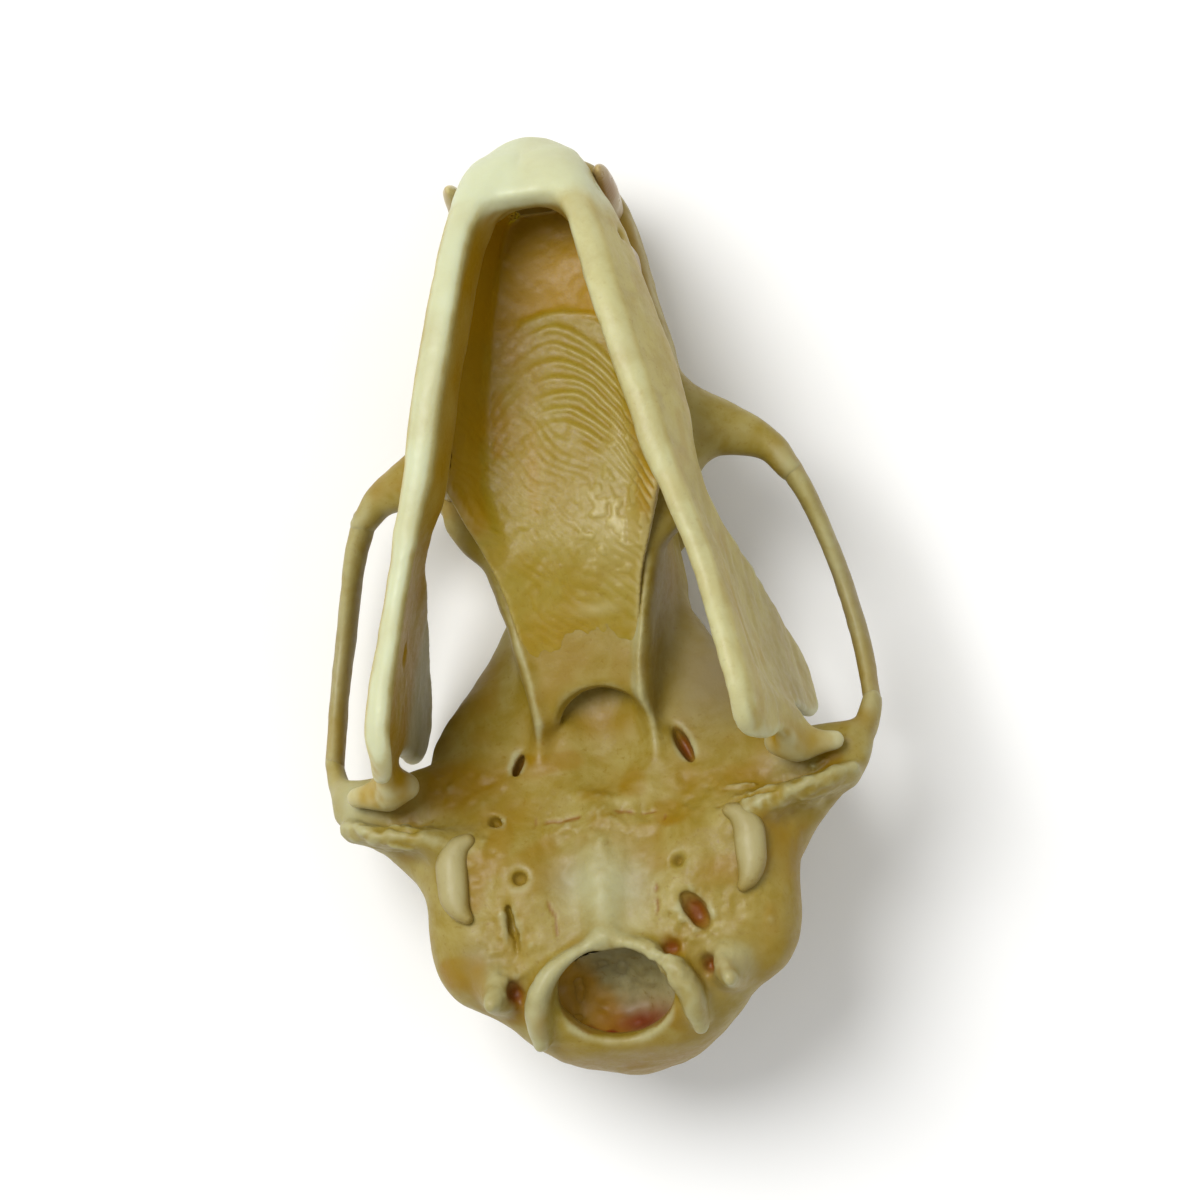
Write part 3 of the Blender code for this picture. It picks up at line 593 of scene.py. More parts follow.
# Fine relief: joint lines between the bones, muscle grooves, flaking and general unevenness.
wander = np.stack([cloud(points, 0.5, seed) for seed in (11, 12, 13)], axis=1) * 0.16
wandered = points + wander
JOINT_LINES = [
    [(0, -1.8, -6.1), (0, -6, -7.0), (0, -12, -8.5), (0, -16.5, -9.6)],
    [on_braincase(-20.4 + 0.008 * a, a, -1) for a in range(10, 91, 10)]
    + [on_braincase(-20.4 + 0.008 * a, a, 1) for a in range(80, 9, -10)],
    [on_braincase(-20.6 - i, 25 + 12 * math.sin(i * 0.28)) for i in range(11)],
    [on_braincase(-20.6 - i, 25 + 12 * math.sin(i * 0.28), -1) for i in range(11)],
    [on_braincase(-33.0 - 0.006 * a, a, -1) for a in range(10, 91, 10)]
    + [on_braincase(-33.0 - 0.006 * a, a, 1) for a in range(80, 9, -10)],
    [on_braincase(-20.0 - i, 90) for i in range(14)],
    [(-2.9, -3.0, -6.0), (-3.0, -6.5, -5.4), (-3.4, -9.0, -4.6), (-3.9, -11.6, -4.2)],
    [(2.9, -3.0, -6.0), (3.0, -6.5, -5.4), (3.4, -9.0, -4.6), (3.9, -11.6, -4.2)],
    [(-2.2, -27.2, -3.1), (0, -27.0, -3.0), (2.2, -27.2, -3.1)],
    [(2.0, -24.6, -4.0), (2.6, -27.0, -3.2), (2.3, -29.4, -2.6), (1.9, -31.6, -2.4)],
    [(-2.0, -24.6, -4.0), (-2.6, -27.0, -3.2), (-2.3, -29.4, -2.6), (-1.9, -31.6, -2.4)],
]
joint = np.zeros(len(points))
for line in JOINT_LINES:
    joint = np.maximum(joint, fade(from_line(wandered, line), 0.13, 0.03))
relief = 0.05 * cloud(points, 1.4, 1) + 0.025 * cloud(points, 0.55, 2)
under = fade(normals[:, 2], 0.1, 0.6)
rough_zone = spots(points, [
    (1.0, 7.2, -27.2, -2.5, 2.6, 1.2, 2.0),
    (1.0, 4.2, -26.6, -3.3, 1.6, 1.2, 1.6),
    (1.0, 3.6, -32.0, -2.8, 1.5, 2.0, 1.6),
    (1.0, -8.2, -26.8, -2.4, 2.2, 0.9, 1.6),
    (1.0, -4.0, -32.5, -2.8, 1.2, 2.0, 1.6),
    (1.3, 2.2, -33.2, -2.2, 1.3, 1.4, 1.2),
    (0.6, 0.0, -32.2, -2.3, 0.9, 0.6, 1.0),
    (0.7, -4.6, -28.0, -3.0, 1.4, 2.2, 1.4),
    (0.6, 0.0, -27.5, -3.0, 3.2, 2.4, 1.4),
    (0.6, -5.6, -25.4, -3.6, 2.4, 1.2, 1.8),
    (0.7, 5.0, -31.0, -3.0, 1.6, 1.6, 1.4),
])
relief += rough_zone * (0.12 * cloud(points, 0.42, 3) + 0.05 * cloud(points, 0.2, 4))
for line, width, rise in [
    ([(-9.6, -26.2, -2.1), (-8.3, -26.4, -1.7), (-7.0, -27.1, -1.9)], 0.22, -0.22),
    ([(-9.4, -26.9, -2.6), (-8.2, -27.2, -2.0), (-6.8, -27.7, -2.3)], 0.2, 0.16),
    ([(4.8, -27.4, -2.6), (6.9, -27.1, -1.8), (9.2, -26.3, -2.6)], 0.18, -0.2),
    ([(5.2, -26.6, -3.1), (7.4, -26.4, -2.6), (9.0, -26.0, -3.2)], 0.18, 0.14),
    ([(-2.1, -27.6, -3.1), (-0.1, -27.3, -2.9), (1.9, -27.9, -3.0)], 0.4, 0.1),
]:
    relief += rise * fade(from_line(points + wander, line), width, 0.0)
relief -= 0.05 * joint
points = points + normals * relief[:, None]
normals = outward(points, faces)

dip = hollowness(points, faces, normals, 14)
snag = cloud(points, 0.9, 21) + 0.5 * cloud(points, 0.35, 22)
inside_box = ((points[:, 1] < -19.2) & (points[:, 1] > -35.3)
              & (np.abs(points[:, 0]) < 6.4) & (points[:, 2] < -3.6))
inward = (normals * (np.array([0, -27.5, -8.0]) - points)).sum(axis=1) > 0.3
brain_side = inside_box & inward

# Golden-brown stains of old fat, with painted shade in the hollows.
stain_and_shade = np.maximum.reduce([
    spots(points, [
        (1.5, -5.6, -25.1, -3.6, 2.1, 1.15, 2.2),
        (0.9, -4.0, -26.6, -3.3, 1.4, 1.0, 2.0),
        (0.9, 6.9, -28.6, -3.3, 0.8, 1.3, 1.6),
        (0.75, -3.2, -29.4, -2.7, 0.8, 0.7, 1.0),
        (0.8, -3.7, -31.2, -2.7, 0.7, 1.5, 1.2),
        (0.7, -2.0, -23.6, -3.5, 1.0, 1.6, 1.4),
        (1.0, 0.2, -22.9, -3.7, 1.8, 0.9, 1.0),
        (0.6, -0.8, -20.6, -1.8, 2.2, 1.5, 1.5),
        (0.7, 6.4, -26.9, -2.8, 1.6, 0.7, 1.4),
        (0.8, 7.3, -29.6, -4.2, 1.0, 2.6, 2.0),
        (0.8, 5.6, -32.4, -4.4, 1.7, 1.6, 1.6),
        (0.9, 0.2, -36.2, -6.5, 4.4, 1.0, 2.5),
        (0.8, 3.4, -26.2, -3.6, 0.9, 1.2, 1.2),
        (0.8, 3.5, -17.0, -4.0, 1.3, 1.9, 2.2),
        (0.8, 4.0, -33.6, -3.3, 1.4, 1.0, 1.4),
    ]),
    0.9 * fade(cloud(points, 1.3, 23), 0.1, 0.5) * under * fade(points[:, 1], -22.5, -24.0),
    0.6 * fade(cloud(points, 2.4, 24) + 0.5 * cloud(points, 0.7, 25), 0.1, 0.8) * under,
    0.9 * fade(points[:, 1], -8.6, -6.6) * under,
    0.5 * spot(points, (-1.6, -30.6, -8.0), (5.0, 7.0, 3.0)) * brain_side,
    fade(dip, 0.02, 0.09) * 0.7,
]) * (0.85 + 0.3 * snag)
# Pale patches, with painted highlights along the crests of both neck knobs and of the left throat wall,
# and on rounded parts.
pale_and_highlight = np.maximum.reduce([
    spots(points, [
        (0.7, 0.0, -30.2, -2.4, 1.5, 2.0, 1.0),
        (0.7, 4.6, -33.2, -2.8, 0.9, 0.8, 1.0),
        (0.7, -9.8, -25.5, -3.4, 1.4, 1.6, 2.0),
        (0.75, -4.4, -33.4, -2.4, 0.4, 0.9, 0.8),
    ]),
    0.45 * fade(from_line(points, [(0.3, -32.0, -2.0), (1.6, -32.6, -1.9), (2.6, -33.5, -2.0),
                                  (3.2, -34.7, -2.6)]), 0.75, 0.3),
    0.7 * fade(from_line(points, [(-0.3, -32.0, -2.0), (-1.6, -32.6, -1.9), (-2.6, -33.5, -2.0),
                                  (-3.3, -34.7, -2.6), (-3.3, -35.4, -3.4)]), 0.75, 0.3),
    0.5 * fade(from_line(points, [(2.4, -17.6, -1.2), (2.2, -20.6, -1.6), (1.9, -23.0, -2.4)]),
               0.45, 0.1),
    0.6 * fade(-dip, 0.02, 0.09),
]) * (0.9 + 0.25 * snag)
thin = np.maximum.reduce([
    spots(points, [
        (1.1, 4.6, -21.9, -5.6, 1.9, 2.5, 2.2),
        (0.8, -5.2, -32.4, -3.3, 0.8, 0.9, 1.0),
        (0.6, -1.4, -29.5, -2.6, 0.8, 0.9, 0.8),
        (0.6, 1.0, -30.0, -2.6, 0.8, 0.9, 0.8),
    ]),
    0.5 * fade(points[:, 2], -8.5, -11.5) * fade(points[:, 1], -18.0, -22.0),
])
# Dark red-brown in the hole pits and along the joint lines, with painted shade on the walls inside the
# brain hollow.
dark_and_shade = np.maximum.reduce([
    spots(points, [
        (1.1, 3.35, -24.5, -4.6, 0.35, 0.9, 0.7), (1.1, 3.45, -31.25, -3.1, 0.45, 0.75, 0.6),
        (1.1, 2.4, -32.55, -2.9, 0.42, 0.4, 0.5), (1.1, 3.8, -33.3, -3.2, 0.3, 0.35, 0.5),
        (1.1, -3.9, -33.6, -3.3, 0.36, 0.5, 0.6), (1.1, -3.1, -24.6, -4.9, 0.3, 0.8, 0.6),
        (1.1, 4.87, -34.86, -4.2, 0.14, 0.2, 0.4),
    ]),
    0.55 * joint * fade(points[:, 2], -7.0, -5.0),
    0.35 * brain_side,
])

upper_bone = dried_bone("dried_upper_bone", "#8C7720", "#9C8C48", "#7E6200",
                        [("thin", "#8A7C5A"), ("stain_and_shade", "#8C6C00"), ("pale_and_highlight", "#ADAC84"),
                         ("dark_and_shade", "#7C4204")], 0.46)
skull = piece_from("upper_skull", upper_bone, points, faces,
                   {"stain_and_shade": stain_and_shade, "pale_and_highlight": pale_and_highlight, "thin": thin, "dark_and_shade": dark_and_shade})
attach(skull, "root")
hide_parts("cranium")


# Dried film in the cord opening

# The skins of the brain dried to a crust inside the opening: olive grey where it is thin and
# lit through the bone, golden brown on one side, dark red-brown where it is thickest.
FILM_LOW, FILM_HIGH = (-3.9, -36.2, -7.6), (3.9, -31.4, -3.0)
film_block = Clay(FILM_LOW, FILM_HIGH, 0.08)
part, (x, y, z) = film_block.window(FILM_LOW, FILM_HIGH)
cup = ((x + 0.1) / 2.9) ** 2 + ((y + 33.8) / 1.8) ** 2
bed = -6.3 + 1.5 * cup + 0.25 * (y + 34.0)
FILM_HALF_THICKNESS = 0.14
film = np.maximum(np.abs(z - bed) - FILM_HALF_THICKNESS, (np.sqrt(cup) - 1) * 2.2)
film_block.press_on(part, film.astype(np.float32), 0.1)
points, faces, normals = sanded(film_block, 2)
crust = 0.16 * cloud(points, 0.9, 91) + 0.07 * cloud(points, 0.35, 92)
points = points + normals * crust[:, None]
snag = cloud(points, 0.8, 93) + 0.5 * cloud(points, 0.35, 94)
masks = {
    "golden": fade(points[:, 0] + 0.6 * (points[:, 1] + 34.0) + 0.3 * snag, 0.3, -0.9),
    "red": np.maximum(1.2 * fade(points[:, 1] + 0.25 * snag, -34.7, -35.2),
                      spot(points, (0.5, -34.7, -5.7), (1.5, 0.75, 1.6))),
}
film_crust = dried_bone("dried_brain_skin", "#8E8453", "#A1986A", "#7D6A2C",
                        [("golden", "#A37C1E"), ("red", "#74300A")], 0.5)
film = piece_from("dried_film", film_crust, points, faces, masks)
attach(film, "root")


# Upper teeth

# Enamel crowns on roots that sit in sockets of the upper bone: two small front teeth, a
# canine and five cheek teeth a side. Each cheek crown is a long low block with a groove
# along its top between an outer and an inner ridge.
CROWN_SQUARENESS = 2.7      # 2 is an oval crown, more is squarer


def tooth_row(clay, side, start_y, row_x, row_z, way, teeth, draw):
    """Cheek teeth one behind the other from rows of (length, width, height)."""
    y = start_y
    for length, width, height in teeth:
        y -= length / 2
        vary = 1 + draw.uniform(-0.05, 0.05)
        centre = np.array([side * row_x(y), y, row_z])
        wide, long, tall = width * vary / 2, length * 0.97 / 2, height * vary
        part, (px, py, pz) = clay.window(centre - (wide + 0.5, long + 0.5, 1.6),
                                         centre + (wide + 0.5, long + 0.5, 2.1))
        rise = way * (pz - centre[2])
        belly = 1 - 0.16 * np.clip(rise / tall, -1, 1) ** 2 - 0.1 * np.clip(-rise, 0, 1)
        out = (np.abs((px - centre[0]) / (wide * belly)) ** CROWN_SQUARENESS
               + np.abs((py - centre[1]) / (long * belly)) ** CROWN_SQUARENESS
               ) ** (1 / CROWN_SQUARENESS)
        across = (px - centre[0]) / wide
        front = (centre[1] - py) / long
        dip = 0.34 * tall * np.exp(-(across / 0.42) ** 2) * fade(np.abs(front), 1.0, 0.55)
        inner = 0.16 * tall * fade(-side * across, -0.3, 0.9)
        slope = 0.2 * tall * np.clip(front, -1, 1)
        crown = rise - (tall - dip - inner - slope)
        shape = np.maximum(np.maximum((out - 1) * wide, crown * 0.8), -rise - 0.9)
        clay.press_on(part, shape, 0.12)
        y -= length / 2


def upper_row_x(y):
    return 2.85 + 1.45 * min(1.0, (-y - 5.0) / 9.0)


UPPER_CHEEK_TEETH = [(0.7, 0.6, 0.75), (2.1, 1.45, 1.45), (2.3, 1.6, 1.4), (2.9, 1.7, 1.3),
                     (2.2, 1.5, 1.15)]
tooth_draw = np.random.default_rng(5)
tooth_block = Clay((-5.8, -15.6, -2.6), (5.8, -0.2, 3.2), 0.065)
for side in (1, -1):
    splay = 0.0 if side > 0 else 0.2        # the right canine leans further out
    tooth_row(tooth_block, side, -4.35, upper_row_x, -0.45, 1, UPPER_CHEEK_TEETH, tooth_draw)
    bar(tooth_block, mirrored(side, [
        (2.5, -3.5, -1.8, 0.62, 0.8), (2.7 + splay, -3.15, 0.0, 0.56, 0.74),
        (2.82 + splay, -2.9, 1.2, 0.42, 0.52), (2.88 + splay, -2.8, 2.0, 0.28, 0.34),
        (2.9 + splay, -2.8, 2.4, 0.14, 0.18)]), 0.12, 20)
    # Low ledge on the inner side of the canine, and the two front teeth.
    bar(tooth_block, mirrored(side, [
        (2.2, -3.3, -0.6, 0.3, 0.4), (2.35, -3.05, 0.25, 0.24, 0.3),
        (2.5, -2.9, 0.75, 0.12, 0.14)]), 0.25, 12)
    for i in range(2):
        bar(tooth_block, mirrored(side, [
            (0.42 + 0.75 * i, -1.6 - 0.3 * i, -1.2, 0.26, 0.24),
            (0.42 + 0.75 * i, -1.15 - 0.35 * i, -0.2, 0.27, 0.22),
            (0.42 + 0.75 * i, -1.0 - 0.4 * i, 0.3, 0.22, 0.12)]), 0.08, 12)
points, faces, normals = sanded(tooth_block, 2)
points = points + normals * (0.015 * cloud(points, 0.35, 31))[:, None]
neck = fade(points[:, 2], 0.35, -0.35)
groove = fade(hollowness(points, faces, normals, 12), 0.0, 0.05)
# Browner on the outer sides of the upper teeth, to match the darker edge of the jaw beside them.
film = fade(normals[:, 0] * np.sign(points[:, 0]), -0.2, 0.6)
brown_and_shade = np.maximum.reduce([
    0.95 * spot(points, (3.0, -3.2, 1.2), (0.9, 1.2, 1.8)),
    0.6 * neck * (0.7 + 0.6 * cloud(points, 0.8, 33)),
    0.55 * film * (0.8 + 0.5 * cloud(points, 0.9, 34)),
])


def tooth_enamel(name):
    """Enamel: hard, glossy and a little see-through, so it looks wet beside the bone.

    Old brown film stays at the neck and in the grooves. Fine growth lines run round it.
    """
    material = bpy.data.materials.new(name)
    material.use_nodes = True
    shader = material.node_tree.nodes["Principled BSDF"]
    place = add_node(material, "ShaderNodeTexCoord").outputs["Object"]
    cloudy = add_node(material, "ShaderNodeTexNoise",
                      [("Scale", 1 / (0.7 * MILLIMETRE)), ("Detail", 4.0)], [("Vector", place)])
    line_spacing = 0.12     # mm, real growth lines are finer and would not show
    lines = add_node(material, "ShaderNodeTexWave",
                     [("Scale", 0.31 / (line_spacing * MILLIMETRE)), ("Distortion", 3.0),
                      ("Detail", 2.0), ("Detail Scale", 1.5)], [("Vector", place)],
                     bands_direction="Z")
    colour = add_node(material, "ShaderNodeMix",
                      [(MIX_A, linear("#C9C093")), (MIX_B, linear("#B3A366"))],
                      [(MIX_FACTOR, cloudy.outputs["Fac"])],
                      data_type="RGBA").outputs[MIX_RESULT]
    for mask, paint in (("brown_and_shade", "#8C6420"), ("groove", "#7A5518")):
        read = add_node(material, "ShaderNodeAttribute", attribute_name=mask)
        colour = add_node(material, "ShaderNodeMix", [(MIX_B, linear(paint))],
                          [(MIX_FACTOR, read.outputs["Fac"]), (MIX_A, colour)],
                          data_type="RGBA").outputs[MIX_RESULT]
    material.node_tree.links.new(colour, shader.inputs["Base Color"])
    gloss = add_node(material, "ShaderNodeMapRange", [("To Min", 0.2), ("To Max", 0.42)],
                     [("Value", cloudy.outputs["Fac"])])
    material.node_tree.links.new(gloss.outputs[0], shader.inputs["Roughness"])
    bump = add_node(material, "ShaderNodeBump",
                    [("Strength", 0.2), ("Distance", 0.012 * MILLIMETRE)],
                    [("Height", lines.outputs["Fac"])])
    material.node_tree.links.new(bump.outputs[0], shader.inputs["Normal"])
    shader.inputs["IOR"].default_value = 1.62
    shader.inputs["Subsurface Weight"].default_value = 0.2
    shader.inputs["Subsurface Radius"].default_value = (1.0, 0.8, 0.5)
    shader.inputs["Subsurface Scale"].default_value = 0.5 * MILLIMETRE
    return material


enamel = tooth_enamel("tooth_enamel")
upper_teeth = piece_from("upper_teeth", enamel, points, faces, {"brown_and_shade": brown_and_shade, "groove": groove * 0.8})
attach(upper_teeth, "root")


# Palate skin

# The skin of the roof of the mouth, dried hard on the bone. Its ridges bend back from the
# middle towards the teeth. In front it is brown and glassy, behind it flakes off in pale bits.
SKIN_FRONT_Y, SKIN_REAR_Y = -3.3, -21.6
SKIN_WIDTHS = [(-21.9, 2.0), (-20.0, 2.4), (-18.3, 2.75), (-16.6, 3.4), (-15.6, 3.85),
               (-14.0, 4.35), (-12.0, 4.2), (-10.0, 3.85), (-8.5, 3.55), (-7.0, 3.15),
               (-5.0, 2.5), (-3.8, 1.9), (-3.3, 1.0)]
SKIN_LEVELS = [(-23.0, -2.9), (-21.9, -2.6), (-20.3, -1.95), (-19.3, -1.5), (-18.4, -1.16),
               (-16.6, -0.56), (-14.0, -0.3), (-3.3, -0.3)]
GUM_RISE = [(-21.9, 0.0), (-17.0, 0.1), (-15.4, 0.9), (-13.0, 1.6), (-5.0, 1.6), (-3.3, 0.9)]
SKIN_LOW, SKIN_HIGH, SKIN_HALF_THICKNESS = (-4.6, -22.6, -3.0), (4.6, -2.7, 1.5), 0.16
skin_block = Clay(SKIN_LOW, SKIN_HIGH, 0.075)
part, (x, y, z) = skin_block.window(SKIN_LOW, SKIN_HIGH)
half = smooth_row(SKIN_WIDTHS, y.ravel())[:, 0].reshape(1, -1, 1)
level = smooth_row(SKIN_LEVELS, y.ravel())[:, 0].reshape(1, -1, 1)
climb = smooth_row(GUM_RISE, y.ravel())[:, 0].reshape(1, -1, 1)
share = np.clip(np.abs(x) / half, 0, 1)
lie = level + 0.12 * share ** 2 + climb * fade(share, 0.62, 1.0)
steep = np.sqrt(1 + (1.3 * climb * fade(share, 0.62, 0.8)) ** 2)
sheet = np.abs(z - lie) / steep - SKIN_HALF_THICKNESS
past = np.maximum(SKIN_REAR_Y - 0.25 * x * x - y, y - SKIN_FRONT_Y)
sheet = np.maximum(np.maximum(sheet, np.abs(x) - half), past)
skin_block.press_on(part, sheet.astype(np.float32), 0.1)
points, faces, normals = sanded(skin_block, 2)
x, y = points[:, 0], points[:, 1]
face_up = fade(normals[:, 2], 0.2, 0.7)
bend = 0.09 + 0.21 * fade(y + 0.2 * x * x, -7.4, -8.8)
RIDGE_SPACING = 0.64    # mm
row = y + bend * x * x + 0.10 * cloud(points, 1.1, 41)
wave = 0.5 + 0.5 * np.cos(2 * math.pi * (row + 7.62) / RIDGE_SPACING)
ridged = fade(row, -7.3, -7.7) * fade(row, -13.6, -11.2)
ridge_rise = 0.085 * wave ** 1.6 * ridged * (0.5 + 0.5 * np.clip(x + 0.2, -0.8, 1))
slant = 0.8 * y + 0.9 * x
crinkle = np.abs(np.sin(2 * math.pi * (slant + 0.5 * cloud(points, 1.2, 42)) / 0.95))
crinkled = fade(y, -10.0, -12.5) * fade(y, -21.5, -19.5)
flake = fade(cloud(points, 0.45, 43) + 0.6 * cloud(points, 0.2, 44), 0.1, 0.5)
flaky = np.maximum(spot(points, (1.9, -16.4, -0.4), (1.3, 1.7, 1.2)),
                   0.8 * spot(points, (2.6, -14.0, -0.2), (0.8, 1.6, 1.2)))
front_pool = fade(y + 0.12 * x * x + 0.25 * cloud(points, 0.8, 48), -7.9, -7.2)
relief = ridge_rise + 0.02 * crinkled * crinkle + 0.09 * flaky * flake
relief += 0.05 * cloud(points, 0.9, 45) + 0.02 * cloud(points, 0.3, 46)
relief -= 0.12 * front_pool * fade(np.abs(x), 2.2, 0.8)
points = points + normals * (relief * face_up)[:, None]
normals = outward(points, faces)
dip = hollowness(points, faces, normals, 10)
pool = front_pool * (1.0 - 0.55 * spot(points, (-2.1, -6.0, 0.0), (0.5, 1.2, 1.5)))
# Browner up the sides of the teeth, towards the front on the animal's right, and in two streaks and a
# patch near the rear on that side, with painted shade in the hollows.
browned_and_shade = np.maximum.reduce([
    0.8 * fade(points[:, 2], -0.05, 0.35),
    0.75 * fade(x, 0.2, -1.8) * fade(y, -15.5, -13.0) * (0.8 + 0.4 * cloud(points, 1.3, 47)),
    0.9 * fade(from_line(points, [(-2.2, -10.6, 0.0), (-2.4, -12.9, 0.0)]), 0.5, 0.1),
    0.4 * fade(dip, 0.005, 0.06),
    0.45 * spot(points, (-1.0, -19.9, -1.6), (1.6, 1.2, 1.5)),
    0.5 * fade(from_line(points, [(-1.0, -11.8, 0.0), (-1.1, -15.4, 0.0)]), 0.45, 0.1),
])
# Pale flaking bits and a pale line near the rear, with painted highlights on the ridge crests on the
# animal's left and on other rounded parts.
whitened_and_highlight = np.maximum.reduce([
    flaky * (0.45 + 0.55 * flake),
    0.55 * fade(x, 0.5, 2.6) * fade(y, -7.6, -8.6) * fade(-dip, -0.01, 0.05),
    0.5 * spot(points, (0.9, -19.3, -1.3), (0.9, 0.25, 1.0)),
    0.35 * fade(-dip, 0.01, 0.06),
])
dried_skin = dried_bone("dried_palate_skin", "#958226", "#927A0C", "#846A00",
                        [("browned_and_shade", "#997604"), ("pool", "#9E7A00"),
                         ("whitened_and_highlight", "#B8AB74")], 0.42)
palate = piece_from("palate_skin_dried", dried_skin, points, faces,
                    {"browned_and_shade": browned_and_shade, "pool": pool, "whitened_and_highlight": whitened_and_highlight})
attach(palate, "root")
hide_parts("palate_skin")


# Cheek bones

# The slim outer bar of each cheek arch, a bone of its own that meets the roots of the upper
# skull in a slanting joint line. It is the same dried bone, thin enough to look a bit grey.
for side, word in ((1, "left"), (-1, "right")):
    near, beyond = sorted((side * 7.6, side * 11.9))
    block = Clay((near, -24.6, -7.2), (beyond, -12.6, -1.6), 0.07)
    bar(block, mirrored(side, [
        (8.5, -13.95, -3.12, 0.45, 0.74), (9.08, -15.2, -3.65, 0.4, 0.78),
        (9.6, -16.8, -4.35, 0.37, 0.8), (10.12, -18.9, -4.95, 0.36, 0.76),
        (10.53, -21.2, -5.0, 0.35, 0.72), (10.74, -23.4, -4.66, 0.35, 0.7)]), 0.1, 28)
    points, faces, normals = sanded(block, 3)
    lift = 0.03 * cloud(points, 1.2, 51) + 0.012 * cloud(points, 0.35, 52)
    points = points + normals * lift[:, None]
    dip = hollowness(points, faces, normals, 10)
    lower_edge = fade(points[:, 2], -4.9, -3.9) * fade(normals[:, 2], 0.0, 0.7)
    masks = {
        "thin": 0.55 * spot(points, (side * 10.0, -19.6, -5.0), (2.0, 3.2, 2.0)),
        "stain_and_shade": 0.5 * spot(points, (side * 10.6, -22.6, -4.4), (1.2, 1.0, 1.4)),
        # Painted highlight on the lower edge, which faces up, and on rounded parts.
        "pale_and_highlight": 0.25 * lower_edge + 0.3 * fade(-dip, 0.01, 0.05),
        "dark_and_shade": 0.12 * np.maximum(fade(points[:, 1], -14.55, -14.3),
                                  fade(points[:, 1], -23.1, -23.3)),
    }
    cheek = piece_from("cheek_arch_" + word, upper_bone, points, faces, masks)
    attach(cheek, "root")
    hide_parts("cheek_bone_" + word)


# Ear bones

# The small bent bone round each ear opening, which held the eardrum. It is loose on the
# base of the real skull, smooth, and a little paler than the bone that it lies on.
ear_bone = dried_bone("dried_ear_bone", "#8F7D3C", "#998A50", "#7E641C",
                      [("stain_and_shade", "#80620F"), ("pale_and_highlight", "#ACA478")], 0.44)
for side, word in ((1, "left"), (-1, "right")):
    near, beyond = sorted((side * 4.2, side * 7.2))
    block = Clay((near, -31.6, -3.4), (beyond, -26.9, -0.6), 0.06)
    bar(block, mirrored(side, [
        (5.15, -27.6, -2.35, 0.3, 0.36), (5.6, -27.9, -2.3, 0.48, 0.46),
        (5.85, -28.6, -2.25, 0.62, 0.48), (5.85, -29.5, -2.3, 0.6, 0.48),
        (5.7, -30.2, -2.35, 0.44, 0.42), (5.4, -30.6, -2.4, 0.24, 0.3)]), 0.1, 24)
    points, faces, normals = sanded(block, 3)
    points = points + normals * (0.025 * cloud(points, 0.7, 61))[:, None]
    dip = hollowness(points, faces, normals, 10)
    masks = {
        # Painted shade in the hollows and on the lower half, which faces the table; painted highlight
        # on the upper half.
        "stain_and_shade": fade(dip, 0.0, 0.05) * 0.6 + 0.4 * fade(points[:, 2], -1.9, -2.4),
        "pale_and_highlight": 0.6 * fade(points[:, 2], -2.2, -1.8),
    }
    ear = piece_from("ear_ring_" + word, ear_bone, points, faces, masks)
    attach(ear, "root")
    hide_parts("ear_bone_" + word)


# Lower jaw

# Both halves are one bone, fused at the chin. A thick smooth lower edge, the palest part of
# the skull, runs back from the chin; behind the teeth each half widens into a thin plate
# for the chewing muscles and ends in a cross-wise knob that sits in the socket.
JAW_OUTLINE = [     # y and z of the side view, from the chin round by the lower edge
    (-2.5, 1.6), (-2.3, 3.1), (-3.6, 4.2), (-5.6, 5.05), (-8.5, 5.6), (-12.0, 5.6),
    (-15.2, 5.2), (-18.2, 4.6), (-20.2, 4.5), (-22.4, 4.75), (-24.2, 4.8), (-25.6, 4.3),
    (-26.2, 3.1), (-25.9, 1.6), (-25.3, 0.2), (-25.9, -0.9), (-26.1, -1.8), (-25.5, -2.5),
    (-24.7, -2.4), (-24.0, -2.2), (-23.6, -3.2), (-23.5, -5.0), (-23.3, -7.0), (-22.4, -8.3),
    (-21.2, -8.4), (-20.2, -7.6), (-19.0, -5.2), (-17.8, -2.4), (-16.7, 0.2), (-15.6, 1.9),
    (-12.0, 2.1), (-8.5, 2.15), (-5.6, 1.95), (-4.2, 1.75),
]
JAW_LINE = [        # y, lower edge z, x and half thickness there, upper z, x and half there
    (-2.2, 3.3, 1.2, 0.75, 1.5, 1.35, 0.8), (-4.2, 4.5, 2.05, 0.6, 1.8, 2.35, 0.9),
    (-5.6, 5.0, 2.45, 0.58, 2.0, 2.95, 0.9), (-8.5, 5.6, 3.02, 0.6, 2.2, 3.75, 0.95),
    (-12.0, 5.6, 3.85, 0.6, 2.2, 4.6, 0.98), (-15.2, 5.2, 4.62, 0.58, 2.0, 5.1, 0.75),
    (-17.0, 4.8, 5.15, 0.54, 0.0, 5.9, 0.45), (-19.0, 4.55, 5.75, 0.5, -5.2, 6.95, 0.34),
    (-21.0, 4.55, 6.2, 0.5, -8.4, 7.7, 0.3), (-23.0, 4.8, 6.6, 0.5, -7.0, 7.95, 0.32),
    (-24.4, 4.7, 6.8, 0.5, -2.4, 8.05, 0.42), (-26.2, 3.1, 7.0, 0.42, -2.0, 8.1, 0.42),
]


